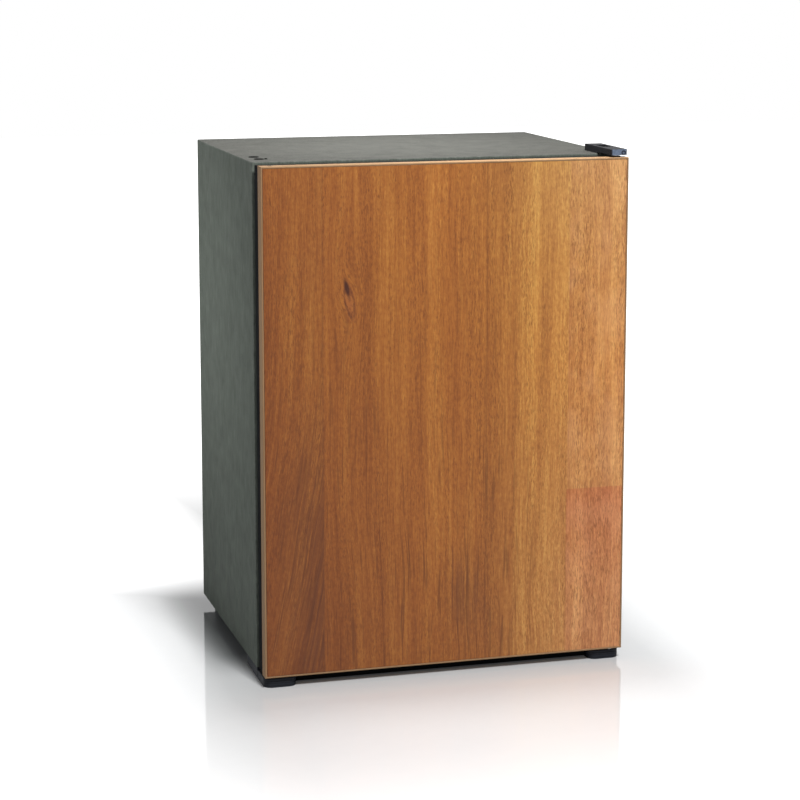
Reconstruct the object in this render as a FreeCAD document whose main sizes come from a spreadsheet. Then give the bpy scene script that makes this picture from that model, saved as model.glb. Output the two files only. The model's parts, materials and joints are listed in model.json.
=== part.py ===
import FreeCAD, Part
import math
import os
import re

import Sketcher

# Minibar fridge, 40 litres, absorption type, with a wooden decor door hinged at the right.
# Frame: +X to the right seen from the front, +Y to the back, +Z up, origin on the floor in the middle
# of the outer box. All sizes are in millimetres.

SIZES = {
    # whole cabinet
    "case_width": 402.0,
    "case_height": 544.0,
    "case_depth": 298.0,
    "foot_height": 12.0,
    "unit_depth": 95.0,
    "cut_overrun": 2.0,
    # sheet metal
    "sheet_wall": 0.8,
    "flange_width": 26.0,
    "wrap_bend": 1.4,
    # insulated walls and the white liner
    "side_wall": 32.0,
    "roof_wall": 34.0,
    "floor_wall": 34.0,
    "back_wall": 38.0,
    "liner_wall": 1.5,
    "liner_corner": 10.0,
    "ledge_width": 6.0,
    "ledge_height": 8.0,
    "ledge_start": 70.0,
    "ledge_end_gap": 12.0,
    "ledge_level": 150.0,
    "shelf_headroom": 88.0,
    # running and seating gaps
    "seat_gap": 0.3,
    "fit_gap": 0.2,
    "close_gap": 0.05,
    # door
    "door_depth": 42.0,
    "door_top_drop": 1.2,
    "door_bottom_lift": 0.3,
    "frame_depth": 14.5,
    "frame_lip": 1.8,
    "frame_rail": 18.0,
    "frame_nose": 1.2,
    "panel_thickness": 4.0,
    "panel_gap": 0.3,
    "panel_edge": 0.5,
    "shell_inset": 1.0,
    "shell_depth": 19.5,
    "shell_wall": 1.5,
    "gasket_inset": 12.0,
    "gasket_width": 12.0,
    "gasket_lip": 2.0,
    "gasket_skin": 1.2,
    "magnet_depth": 3.0,
    "plateau_inset": 41.0,
    "plateau_end_inset": 46.0,
    "plateau_depth": 12.0,
    "plateau_corner": 12.0,
    "dyke_width": 8.0,
    "dyke_depth": 30.0,
    "dyke_end_inset": 12.0,
    "dyke_round": 3.0,
    "rack_depth": 60.0,
    "rack_wall": 2.0,
    "rack_corner": 3.5,
    "rack_upper_drop": 220.5,
    "rack_upper_height": 62.0,
    "rack_lower_level": 66.0,
    "rack_lower_height": 84.0,
    # hinges
    "hinge_inset": 11.5,
    "hinge_setback": 9.6,
    "pin_radius": 2.5,
    "pin_reach": 14.0,
    "pin_head_radius": 4.0,
    "pin_head": 0.9,
    "bush_radius": 4.0,
    "bush_length": 16.0,
    "bush_flange_radius": 5.0,
    "bush_flange": 1.2,
    "arm_thickness": 2.5,
    "arm_lap": 5.0,
    "hinge_width": 16.2,
    "hinge_edge": 2.8,
    "hinge_front": 40.1,
    "hinge_back": 37.5,
    "hinge_nose": 2.4,
    "cover_wall": 1.2,
    "cover_height": 7.4,
    "cover_skirt": 1.2,
    "cover_window": 22.0,
    "cover_window_lead": 5.0,
    "cover_window_rim": 3.0,
    "screw_inset": 14.0,
    "screw_front": 12.0,
    "screw_pitch": 17.0,
    "screw_radius": 2.0,
    "screw_head_radius": 3.4,
    "screw_head": 2.0,
    "screw_length": 12.0,
    "screw_hole": 14.0,
    "plug_front": 29.0,
    "plug_pitch": 26.0,
    "plug_radius": 5.5,
    "plug_cap": 1.0,
    "plug_stem": 6.0,
    "small_plug_radius": 1.7,
    "small_plug_stem": 1.2,
    "small_plug_offset": 7.5,
    # feet and base rail
    "foot_block_width": 40.0,
    "foot_block_front": 2.0,
    "foot_block_back": 51.0,
    "foot_block_lift": 2.0,
    "foot_lug_inset": 0.4,
    "foot_lug_width": 35.6,
    "foot_lug_front": 36.6,
    "foot_lug_top_drop": 2.0,
    "foot_round": 9.0,
    "socket_floor": 2.0,
    "rear_foot_depth": 50.0,
    "rear_foot_inset": 10.0,
    "rail_front": 26.0,
    "rail_thickness": 2.0,
    "rail_top_drop": 1.0,
    "rail_bottom_lift": 2.0,
    "rail_reach": 20.0,
    "rail_pad": 14.0,
    # shelves
    "shelf_front": 76.0,
    "shelf_back_gap": 5.0,
    "shelf_side_gap": 2.0,
    "bar_radius": 2.5,
    "cross_bar_radius": 2.2,
    "bar_inset": 6.0,
    "wire_inset": 3.0,
    "wire_radius": 1.3,
    "wire_pitch": 18.0,
    # evaporator inside, drip tray and dish
    "evaporator_drop": 99.0,
    "evaporator_height": 90.0,
    "evaporator_width": 220.0,
    "evaporator_plate": 4.0,
    "fin_reach": 24.0,
    "fin_thickness": 3.0,
    "fin_pitch": 15.0,
    "boss_width": 124.0,
    "boss_height": 36.0,
    "plug_width": 172.0,
    "plug_height": 80.0,
    "tray_drop": 7.0,
    "tray_height": 15.0,
    "tray_wall": 1.6,
    "tray_overhang": 4.0,
    "tray_reach": 34.0,
    "drain_radius": 5.0,
    "drain_bore": 3.4,
    "drain_bend": 9.0,
    "drain_standoff": 20.0,
    "drain_drop": 48.0,
    "dish_width": 96.0,
    "dish_depth": 40.0,
    "dish_height": 24.0,
    "dish_drop": 101.0,
    # thermostat, knob and light
    "housing_width": 70.0,
    "housing_length": 120.0,
    "housing_height": 30.0,
    "housing_wall": 2.0,
    "housing_front": 62.0,
    "housing_side_gap": 12.0,
    "housing_round": 3.0,
    "knob_radius": 11.0,
    "knob_depth": 12.0,
    "knob_drop": 15.0,
    "knob_inset": 16.0,
    "knob_grip": 5.0,
    "knob_rib": 1.6,
    "knob_rib_width": 2.0,
    "stem_radius": 3.0,
    "stem_length": 15.0,
    "regulator_width": 24.0,
    "regulator_length": 34.0,
    "regulator_height": 20.0,
    "lens_width": 36.0,
    "lens_length": 48.0,
    "lens_side": 15.0,
    "lens_front": 56.0,
    "lens_thickness": 2.0,
    "board_thickness": 1.6,
    "board_lift": 8.0,
    "board_post_radius": 2.5,
    "diode_size": 3.5,
    "diode_height": 1.2,
    "diode_pitch": 11.0,
    # cooling unit on the back
    "fin_size": 60.0,
    "cooling_fin_thickness": 0.9,
    "cooling_fin_pitch": 8.0,
    "cooling_fin_gap": 12.0,
    "cooling_fin_span": 160.0,
    "tube_radius": 8.0,
    "riser_radius": 9.0,
    "tube_bend": 17.0,
    "riser_bend": 22.0,
    "condenser_top_gap": 44.0,
    "condenser_outlet": 130.0,
    "condenser_drop": 30.0,
    "riser_run": 38.0,
    "leg_spread": 55.0,
    "leg_drop": 25.0,
    "exchanger_radius": 13.0,
    "exchanger_length": 90.0,
    "exchanger_cap": 8.0,
    "coil_right": 124.0,
    "coil_left": 50.0,
    "coil_pitch": 24.0,
    "coil_slope": 6.0,
    "coil_bend": 11.5,
    "coil_lead": 30.0,
    "vessel_radius": 28.0,
    "vessel_length": 180.0,
    "vessel_round": 10.0,
    "vessel_level": 92.0,
    "vessel_left": 52.0,
    "neck_radius": 10.0,
    "neck_height": 5.0,
    "neck_offset": 36.0,
    "liquid_radius": 6.0,
    "liquid_bend": 13.0,
    "boiler_inset": 83.0,
    "boiler_radius": 28.0,
    "boiler_round": 4.0,
    "boiler_bottom": 116.0,
    "boiler_top_gap": 70.0,
    "boiler_seat": 160.0,
    "heater_radius": 6.0,
    "heater_offset": 16.5,
    "heater_headroom": 70.0,
    "heater_out": 14.0,
    "lead_radius": 2.2,
    "lead_bend": 13.0,
    "lead_level": 62.0,
    "bracket_thickness": 1.5,
    "bracket_drop": 73.0,
    "bracket_flange": 22.0,
    "bracket_reach": 82.0,
    "bracket_margin": 12.0,
    "saddle_left": 4.0,
    "saddle_width": 96.0,
    "unit_screw_inset": 12.0,
    # terminal box
    "box_inset": 33.0,
    "box_width": 66.0,
    "box_depth": 40.0,
    "box_bottom": 22.0,
    "box_height": 64.0,
    "box_wall": 2.0,
    "box_round": 3.0,
    "block_width": 40.0,
    "block_depth": 14.0,
    "block_height": 18.0,
    "block_screw_radius": 2.4,
    "block_screw_depth": 5.0,
    "block_screw_pitch": 12.0,
    "gland_radius": 8.0,
    "gland_stem_radius": 5.4,
    "gland_length": 14.0,
    "gland_bore": 3.6,
    "gland_nut": 4.0,
    "gland_round": 2.0,
}

# Places that follow from the sizes. Heights and depths inside a group count from the group's station.
PLACES = {
    "half_case": "case_width / 2",
    "door_height": "case_height - door_top_drop - door_bottom_lift",
    "front_y": "-(door_depth + case_depth + unit_depth) / 2",
    "hinge_x": "half_case - hinge_inset",
    "cavity_half": "half_case - side_wall",
    "cavity_low": "floor_wall",
    "cavity_high": "case_height - roof_wall",
    "cavity_back": "case_depth - back_wall",
    "room_half": "cavity_half - liner_wall",
    "room_low": "cavity_low + liner_wall",
    "room_high": "cavity_high - liner_wall",
    "room_back": "cavity_back - liner_wall",
    "skin_half": "half_case - sheet_wall",
    "skin_high": "case_height - sheet_wall",
    "liner_front": "sheet_wall",
    "foam_front": "sheet_wall + liner_wall",
    "shell_half": "half_case - shell_inset",
    "shell_high": "door_height - shell_inset",
    "shell_back": "frame_depth + shell_depth",
    "tray_half": "shell_half - shell_wall",
    "plateau_half": "half_case - plateau_inset",
    "plateau_low": "plateau_end_inset",
    "plateau_high": "door_height - plateau_end_inset",
    "plateau_back": "shell_back + plateau_depth",
    "rack_upper_level": "door_height - rack_upper_drop",
    "rack_half": "plateau_half - dyke_width - seat_gap",
    "gasket_half": "half_case - gasket_inset",
    "gasket_high": "door_height - gasket_inset",
    "gasket_back": "door_depth - seat_gap",
    "hinge_right": "half_case - hinge_edge",
    "hinge_left": "hinge_right - hinge_width",
    "pin_y": "hinge_setback - door_depth",
    "screw_x": "half_case - screw_inset",
    "lug_right": "half_case - foot_lug_inset",
    "lug_left": "lug_right - foot_lug_width",
    "ledge_inner": "room_half - ledge_width",
    "shelf_half": "room_half - shelf_side_gap",
    "shelf_back": "room_back - shelf_back_gap",
    "plate_front": "room_back - evaporator_plate",
    "fin_front": "plate_front - fin_reach",
    "evaporator_level": "case_height - evaporator_drop",
    "evaporator_bottom": "evaporator_level - evaporator_height / 2",
    "tray_top": "evaporator_bottom - tray_drop",
    "tray_bottom": "tray_top - tray_height",
    "tray_front": "room_back - tray_reach",
    "ledge_pitch": "(tray_bottom - shelf_headroom - ledge_level) / 2",
    "drain_level": "tray_bottom + tray_wall + drain_radius",
    "dish_top": "evaporator_level - dish_drop",
    "housing_right": "room_half - housing_side_gap",
    "housing_left": "housing_right - housing_width",
    "housing_bottom": "room_high - housing_height",
    "knob_x": "housing_left + knob_inset",
    "knob_z": "room_high - knob_drop",
    "lens_left": "housing_right - lens_side - lens_width",
    "lens_near": "housing_front + lens_front",
    "board_bottom": "housing_bottom + housing_wall + board_lift",
    "tube_y": "unit_depth - fin_size / 2",
    "evaporator_run": "tube_radius + seat_gap - back_wall",
    "condenser_level": "case_height - condenser_top_gap",
    "bracket_level": "evaporator_level - bracket_drop",
    "leg_low": "evaporator_level - leg_drop",
    "exchanger_low": "leg_low - exchanger_length",
    "vessel_right": "vessel_length - vessel_left",
    "neck_top": "vessel_level + vessel_radius + neck_height",
    "neck_x": "vessel_right - neck_offset",
    "boiler_x": "half_case - boiler_inset",
    "boiler_length": "bracket_level - boiler_top_gap - boiler_bottom",
    "riser_end": "boiler_x - riser_run",
    "cooling_fin_start": "riser_end - cooling_fin_gap",
    "heater_x": "boiler_x + heater_offset",
    "heater_low": "boiler_bottom - heater_out",
    "heater_length": "boiler_length - heater_headroom",
    "saddle_top": "vessel_level - vessel_radius - seat_gap",
    "box_left": "half_case - box_inset",
    "box_right": "box_left - box_width",
    "box_top": "box_bottom + box_height",
    "gland_level": "box_bottom + box_height / 2",
}

# Stations: where each group's own zero lies in the part's frame.
STATIONS = {
    "case": ("0", "front_y + door_depth", "foot_height"),
    "door": ("0", "front_y", "foot_height + door_bottom_lift"),
    "unit": ("0", "front_y + door_depth + case_depth", "foot_height"),
}

# Sketch plane for each direction of extrusion, and which way the plane's normal points.
PLANES = {"x": ("YZ_Plane", 1), "y": ("XZ_Plane", -1), "z": ("XY_Plane", 1)}

DOC = FreeCAD.newDocument("MinibarFridge")
SHEET = DOC.addObject("Spreadsheet::Sheet", "Sizes")
PARTS = []


def fill_sheet():
    """Write each size into its own cell of the sheet and name the cell."""
    for row, (name, value) in enumerate(SIZES.items(), start=1):
        SHEET.set(f"A{row}", name)
        SHEET.set(f"B{row}", str(value))
        SHEET.setAlias(f"B{row}", name)
    DOC.recompute()


def spelled(text):
    """Spell a formula out in cells of the sheet."""
    def word(match):
        name = match.group()
        if name in PLACES:
            return "(" + spelled(PLACES[name]) + ")"
        return "Sizes." + name if name in SIZES else name
    return re.sub(r"[a-z][a-z_]*", word, text)


def worth(text):
    """Give a formula's value as a number."""
    return float(SHEET.evalExpression(spelled(text)))


def bind(thing, name, text):
    """Tie one property of an object to a formula."""
    thing.setExpression(name, spelled(text))


def place(thing, station, shift=("0", "0", "0")):
    """Tie an object's Placement to its station."""
    for axis, base, more in zip("xyz", STATIONS[station], shift):
        bind(thing, f"Placement.Base.{axis}", f"{base} + {more}")


def new_body(label, station, shift=("0", "0", "0")):
    """Start a sub-part as a body with its own label and placement."""
    body = DOC.addObject("PartDesign::Body", label)
    body.Label = label
    place(body, station, shift)
    PARTS.append(body)
    return body


def origin_feature(body, role):
    """Find one of a body's own origin planes or axes."""
    return next(item for item in body.Origin.OriginFeatures if item.Role == role)


def new_sketch(body, axis, level):
    """Put a sketch on the body's plane square to an axis, at a level along that axis."""
    plane, sign = PLANES[axis]
    sketch = body.newObject("Sketcher::SketchObject", f"{body.Label}_sketch")
    sketch.AttachmentSupport = [(origin_feature(body, plane), "")]
    sketch.MapMode = "FlatFace"
    bind(sketch, "AttachmentOffset.Base.z", level if sign > 0 else f"-({level})")
    return sketch


def fix(sketch, kind, geometry, point, text):
    """Hold one coordinate of a point of the sketch by a formula."""
    held = Sketcher.Constraint(kind, -1, 1, geometry, point, worth(text))
    bind(sketch, f"Constraints[{sketch.addConstraint(held)}]", text)


def draw_polygon(sketch, corners):
    """Draw a closed outline whose corners are pairs of formulas."""
    first = sketch.GeometryCount
    spots = [FreeCAD.Vector(worth(u), worth(v), 0) for u, v in corners]
    following = spots[1:] + spots[:1]
    sketch.addGeometry([Part.LineSegment(a, b) for a, b in zip(spots, following)], False)
    for index, (u, v) in enumerate(corners):
        after = first + (index + 1) % len(corners)
        sketch.addConstraint(Sketcher.Constraint("Coincident", first + index, 2, after, 1))
        fix(sketch, "DistanceX", first + index, 1, u)
        fix(sketch, "DistanceY", first + index, 1, v)


def draw_rectangle(sketch, across, along):
    """Draw a rectangle between two pairs of formulas."""
    (left, right), (low, high) = across, along
    draw_polygon(sketch, [(left, low), (right, low), (right, high), (left, high)])


def draw_circle(sketch, centre, radius):
    """Draw a circle about a centre given by two formulas."""
    spot = FreeCAD.Vector(worth(centre[0]), worth(centre[1]), 0)
    index = sketch.addGeometry(Part.Circle(spot, FreeCAD.Vector(0, 0, 1), worth(radius)), False)
    fix(sketch, "DistanceX", index, 3, centre[0])
    fix(sketch, "DistanceY", index, 3, centre[1])
    held = Sketcher.Constraint("Radius", index, worth(radius))
    bind(sketch, f"Constraints[{sketch.addConstraint(held)}]", radius)


def draw_rounded(sketch, across, along, radius):
    """Draw a rectangle with rounded corners, as four lines and four arcs in turn."""
    first = sketch.GeometryCount
    left, right, low, high = (worth(text) for text in across + along)
    bend = worth(radius)
    corners = [(right - bend, low + bend), (right - bend, high - bend),
               (left + bend, high - bend), (left + bend, low + bend)]
    runs = [((left + bend, low), (right - bend, low)), ((right, low + bend), (right, high - bend)),
            ((right - bend, high), (left + bend, high)), ((left, high - bend), (left, low + bend))]
    for index, (run, corner) in enumerate(zip(runs, corners)):
        start, end = (FreeCAD.Vector(u, v, 0) for u, v in run)
        circle = Part.Circle(FreeCAD.Vector(*corner, 0), FreeCAD.Vector(0, 0, 1), bend)
        quarter = Part.ArcOfCircle(circle, (index - 1) * math.pi / 2, index * math.pi / 2)
        sketch.addGeometry([Part.LineSegment(start, end), quarter], False)
    for index, limit in enumerate((along[0], across[1], along[1], across[0])):
        line = first + 2 * index
        after = first + (2 * index + 2) % 8
        level = index % 2 == 0
        sketch.addConstraint(Sketcher.Constraint("Tangent", line, 2, line + 1, 1))
        sketch.addConstraint(Sketcher.Constraint("Tangent", line + 1, 2, after, 1))
        sketch.addConstraint(Sketcher.Constraint("Horizontal" if level else "Vertical", line))
        fix(sketch, "DistanceY" if level else "DistanceX", line, 1, limit)
        held = Sketcher.Constraint("Radius", line + 1, bend)
        bind(sketch, f"Constraints[{sketch.addConstraint(held)}]", radius)


def extrude(body, axis, span, draw, cut=False):
    """Pad an outline from the low end of a span to its high end, or pocket it there."""
    low, high = span
    upward = PLANES[axis][1] > 0
    start = low if upward != cut else high
    sketch = new_sketch(body, axis, start)
    draw(sketch)
    kind = "Pocket" if cut else "Pad"
    volume = body.Shape.Volume if cut else 0
    feature = body.newObject(f"PartDesign::{kind}", f"{body.Label}_{kind.lower()}")
    feature.Profile = sketch
    bind(feature, "Length", f"{high} - ({low})")
    DOC.recompute()
    if cut and not feature.Shape.Volume < volume:
        raise RuntimeError(f"{feature.Label} cuts nothing")
    return feature


def add_box(body, x, y, z, cut=False):
    """Add a box between three pairs of formulas."""
    return extrude(body, "z", z, lambda sketch: draw_rectangle(sketch, x, y), cut)


def cut_box(body, x, y, z):
    """Cut a box between three pairs of formulas."""
    return add_box(body, x, y, z, cut=True)


def add_rod(body, axis, centre, radius, span, cut=False):
    """Add a round bar along an axis."""
    return extrude(body, axis, span, lambda sketch: draw_circle(sketch, centre, radius), cut)


def cut_rod(body, axis, centre, radius, span):
    """Bore a round hole along an axis."""
    return add_rod(body, axis, centre, radius, span, cut=True)


def add_rounded(body, across, heights, radius, span, cut=False):
    """Add a block along Y whose outline, seen from the front, has rounded corners."""
    return extrude(body, "y", span, lambda sketch: draw_rounded(sketch, across, heights, radius), cut)


def ring_box(body, half, low, high, wall, span):
    """Add a rectangular frame, square to Y, whose wall goes inwards from its outline."""
    def draw(sketch):
        draw_rectangle(sketch, (f"-({half})", half), (low, high))
        draw_rectangle(sketch, (f"{wall} - ({half})", f"{half} - ({wall})"),
                       (f"{low} + {wall}", f"{high} - ({wall})"))
    return extrude(body, "y", span, draw)


def both(half):
    """Give the span from minus to plus a formula."""
    return f"-({half})", half


def follows(edge, axes):
    """Tell whether an edge is straight and runs along one of some axes."""
    if edge.Degenerated or edge.Curve.TypeId != "Part::GeomLine":
        return False
    run = edge.tangentAt(edge.FirstParameter)
    return any(abs(getattr(run, axis)) > 1 - 1e-6 for axis in axes)


def round_edges(body, radius, axes, kind="Fillet", **limits):
    """Round the straight edges along some axes whose middles lie within the limits."""
    base = body.Tip
    spans = {axis: sorted(worth(text) for text in span) for axis, span in limits.items()}
    slack = worth("close_gap") / 2
    names = []
    for index, edge in enumerate(base.Shape.Edges, start=1):
        middle = edge.CenterOfMass
        inside = all(low - slack <= getattr(middle, axis) <= high + slack
                     for axis, (low, high) in spans.items())
        if follows(edge, axes) and inside:
            names.append(f"Edge{index}")
    if not names:
        raise RuntimeError(f"{body.Label}: no edge to round")
    feature = body.newObject(f"PartDesign::{kind}", f"{body.Label}_{kind.lower()}")
    feature.Base = (base, names)
    bind(feature, "Radius" if kind == "Fillet" else "Size", radius)
    DOC.recompute()
    return feature


def repeat(body, feature, axis, pitch, count, backward=False):
    """Repeat a feature along one of the body's axes."""
    pattern = body.newObject("PartDesign::LinearPattern", f"{body.Label}_pattern")
    pattern.Originals = [feature]
    pattern.Direction = (origin_feature(body, f"{axis.upper()}_Axis"), [""])
    pattern.Mode = "Spacing"
    pattern.Reversed = backward
    bind(pattern, "Offset", pitch)
    pattern.Occurrences = count
    body.Tip = pattern
    DOC.recompute()
    return pattern


def turn(body, outline):
    """Turn an outline of radius and height pairs about the body's own Z axis."""
    sketch = new_sketch(body, "y", "0")
    draw_polygon(sketch, outline)
    feature = body.newObject("PartDesign::Revolution", f"{body.Label}_turned")
    feature.Profile = sketch
    feature.ReferenceAxis = (sketch, ["V_Axis"])
    DOC.recompute()
    return feature


def route_wire(route, bend):
    """Join straight runs through the route's points by tangent arcs of one radius."""
    corners = [FreeCAD.Vector(*point) for point in route]
    edges = []
    start = corners[0]
    for before, corner, after in zip(corners, corners[1:], corners[2:]):
        back = (before - corner).normalize()
        ahead = (after - corner).normalize()
        half_turn = (math.pi - back.getAngle(ahead)) / 2
        reach = bend * math.tan(half_turn)
        inward = (back + ahead).normalize()
        middle = corner + inward * (bend / math.cos(half_turn) - bend)
        edges.append(Part.LineSegment(start, corner + back * reach).toShape())
        start = corner + ahead * reach
        edges.append(Part.Arc(corner + back * reach, middle, start).toShape())
    edges.append(Part.LineSegment(start, corners[-1]).toShape())
    return Part.Wire(edges)


def swept(route, bend, radius):
    """Sweep a round section along a route and compare its volume with section times length."""
    wire = route_wire(route, bend)
    ahead = FreeCAD.Vector(*route[1]) - FreeCAD.Vector(*route[0])
    section = Part.Wire(Part.Circle(FreeCAD.Vector(*route[0]), ahead, radius).toShape())
    solid = wire.makePipeShell([section], True, False)
    expected = math.pi * radius ** 2 * wire.Length
    if abs(solid.Volume - expected) > expected / 1000:
        raise RuntimeError("a tube lost part of its volume")
    return solid


def bent_tube(label, station, route, radius, bend, bore=None):
    """Make a sub-part from a round tube along a route of formulas."""
    points = [[worth(text) for text in point] for point in route]
    solid = swept(points, worth(bend), worth(radius))
    if bore:
        solid = solid.cut(swept(points, worth(bend), worth(bore)))
    tube = DOC.addObject("Part::Feature", label)
    tube.Label = label
    tube.Shape = solid
    place(tube, station)
    PARTS.append(tube)
    return tube


# Cabinet casing

def top_holes():
    """Places and radii of the holes in the top: the hinge's screws, then the plugged ones."""
    holes = [("screw_x", f"screw_front + {pitches} * screw_pitch", "screw_radius") for pitches in range(2)]
    holes += [("-screw_x", f"plug_front + {pitches} * plug_pitch", "screw_radius") for pitches in range(2)]
    return holes + [("small_plug_offset - screw_x", "plug_front", "small_plug_stem")]


def make_cabinet_wrap():
    """Sheet wrap over both sides and the top, with a flange turned in at the front."""
    body = new_body("cabinet_wrap", "case")
    add_box(body, both("half_case"), ("0", "case_depth"), ("0", "case_height"))
    cut_box(body, both("skin_half"), ("sheet_wall", "case_depth + cut_overrun"),
            ("-cut_overrun", "skin_high"))
    cut_box(body, both("half_case - flange_width"), ("-cut_overrun", "sheet_wall + cut_overrun"),
            ("-cut_overrun", "case_height - flange_width"))
    for x, y, radius in top_holes():
        cut_rod(body, "z", (x, y), f"{radius} + fit_gap",
                ("skin_high - cut_overrun", "case_height + cut_overrun"))
    round_edges(body, "wrap_bend", "y", z=("case_height", "case_height"))


def make_back_panel():
    """Sheet that closes the back between the wrap's sides."""
    body = new_body("back_panel", "case")
    add_box(body, both("skin_half"), ("case_depth - sheet_wall", "case_depth"),
            ("sheet_wall", "skin_high"))
    across = ("case_depth - sheet_wall - cut_overrun", "case_depth + cut_overrun")
    cut_box(body, both("plug_width / 2"), across,
            ("evaporator_level - plug_height / 2", "evaporator_level + plug_height / 2"))
    cut_rod(body, "y", ("0", "drain_level"), "drain_radius + fit_gap", across)
    for x, z in unit_screw_spots():
        cut_rod(body, "y", (x, z), "screw_radius + fit_gap", across)


def make_base_pan():
    """Sheet under the cabinet, with a flange turned up at the front."""
    body = new_body("base_pan", "case")
    add_box(body, both("skin_half"), ("sheet_wall", "case_depth"), ("0", "sheet_wall"))
    add_box(body, both("half_case - flange_width"), ("0", "sheet_wall"), ("0", "flange_width"))


def make_insulation_foam():
    """Foamed wall between the casing and the liner."""
    body = new_body("insulation_foam", "case")
    add_box(body, both("skin_half"), ("foam_front", "case_depth - sheet_wall"),
            ("sheet_wall", "skin_high"))
    add_rounded(body, both("cavity_half"), ("cavity_low", "cavity_high"), "liner_corner + liner_wall",
                ("foam_front - cut_overrun", "cavity_back"), cut=True)
    through = ("cavity_back - cut_overrun", "case_depth + cut_overrun")
    cut_box(body, both("plug_width / 2"), through,
            ("evaporator_level - plug_height / 2", "evaporator_level + plug_height / 2"))
    cut_rod(body, "y", ("0", "drain_level"), "drain_radius + fit_gap", through)
    for x, y, radius in top_holes():
        cut_rod(body, "z", (x, y), f"{radius} + fit_gap", ("case_height - screw_hole", "case_height"))
    for x, z in unit_screw_spots():
        cut_rod(body, "y", (x, z), "screw_radius + fit_gap",
                ("case_depth - screw_hole", "case_depth"))


def make_inner_liner():
    """White moulded liner with its front flange and the ledges for the shelves."""
    body = new_body("inner_liner", "case")
    add_rounded(body, both("cavity_half"), ("cavity_low", "cavity_high"), "liner_corner + liner_wall",
                ("liner_front", "cavity_back"))
    add_box(body, both("skin_half"), ("liner_front", "foam_front"), ("sheet_wall", "skin_high"))
    add_rounded(body, both("room_half"), ("room_low", "room_high"), "liner_corner",
                ("liner_front - cut_overrun", "room_back"), cut=True)
    ledges = extrude(body, "z", ("ledge_level", "ledge_level + ledge_height"), draw_ledges)
    repeat(body, ledges, "z", "ledge_pitch", 3)
    behind = ("room_back - cut_overrun", "cavity_back + cut_overrun")
    cut_box(body, both("boss_width / 2 + fit_gap"), behind,
            ("evaporator_level - boss_height / 2 - fit_gap",
             "evaporator_level + boss_height / 2 + fit_gap"))
    cut_rod(body, "y", ("0", "drain_level"), "drain_radius + fit_gap", behind)


def draw_ledges(sketch):
    """Draw the pair of ledges, left and right, whose front ends taper into the wall."""
    end = "room_back - ledge_end_gap"
    for side in ("", "-"):
        wall = f"{side}(room_half + liner_wall / 2)"
        edge = f"{side}ledge_inner"
        draw_polygon(sketch, [(wall, "ledge_start - ledge_width"), (edge, "ledge_start"),
                              (edge, end), (wall, end)])


def make_base_front_rail():
    """Dark strip between the front feet, with a web back to the base pan."""
    body = new_body("base_front_rail", "case")
    top = "-rail_top_drop"
    add_box(body, both("lug_left"), ("-rail_front", "rail_thickness - rail_front"),
            ("rail_bottom_lift - foot_height", top))
    web = both("half_case - foot_block_width")
    add_box(body, web, ("-rail_front", "rail_reach"), ("-rail_top_drop - rail_thickness", top))
    add_box(body, web, ("rail_reach - rail_pad", "rail_reach"), (top, "0"))


def make_front_foot(label, side):
    """Foot block under a front corner, with a lug under the door and the hinge pin's socket."""
    body = new_body(label, "case")

    def across(inner, outer):
        return (inner, outer) if side > 0 else (f"-({outer})", f"-({inner})")

    sign = "" if side > 0 else "-"
    add_box(body, across("half_case - foot_block_width", "half_case"),
            ("-foot_block_front", "foot_block_back"), ("foot_block_lift - foot_height", "0"))
    add_box(body, across("lug_left", "lug_right"), ("-foot_lug_front", "foot_block_back / 2"),
            ("-foot_height", "-foot_lug_top_drop"))
    round_edges(body, "foot_round", "z", y=("-foot_lug_front", "-foot_lug_front"))
    cut_rod(body, "z", (f"{sign}(hinge_x)", "pin_y"), "pin_radius + close_gap",
            ("socket_floor - foot_height", "0"))


def make_rear_feet():
    """Two plain blocks under the back corners, set in from the sides and the back."""
    body = new_body("rear_feet", "case")
    back = "case_depth - rear_foot_inset"
    for side in ("", "-"):
        across = (f"{side}(half_case - foot_block_width)", f"{side}(half_case - rear_foot_inset)")
        add_box(body, across, (f"{back} - rear_foot_depth", back), ("-foot_height", "0"))
    round_edges(body, "foot_round", "z")


# Hinges

def make_top_hinge_bracket():
    """Steel plate screwed to the top, joggled up to an arm over the door."""
    body = new_body("top_hinge_bracket", "case", ("0", "0", "case_height"))
    across = ("hinge_left", "hinge_right")
    add_box(body, across, ("0", "hinge_back"), ("0", "arm_thickness"))
    add_box(body, across, ("-hinge_front", "arm_lap"), ("arm_thickness", "2 * arm_thickness"))
    round_edges(body, "hinge_nose", "z", y=("-hinge_front", "-hinge_front"))
    cut_rod(body, "z", ("hinge_x", "pin_y"), "pin_radius + close_gap",
            ("arm_thickness - cut_overrun", "2 * arm_thickness + cut_overrun"))
    for pitches in range(2):
        cut_rod(body, "z", ("screw_x", f"screw_front + {pitches} * screw_pitch"),
                "screw_radius + fit_gap", ("-cut_overrun", "arm_thickness + cut_overrun"))


def make_top_hinge_pin():
    """Headed pin through the arm, down into the door's top bush."""
    body = new_body("top_hinge_pin", "case", ("hinge_x", "pin_y", "case_height"))
    arm_top = "2 * arm_thickness"
    add_rod(body, "z", ("0", "0"), "pin_radius", ("-door_top_drop - pin_reach", arm_top))
    add_rod(body, "z", ("0", "0"), "pin_head_radius", (arm_top, "2 * arm_thickness + pin_head"))


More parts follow.
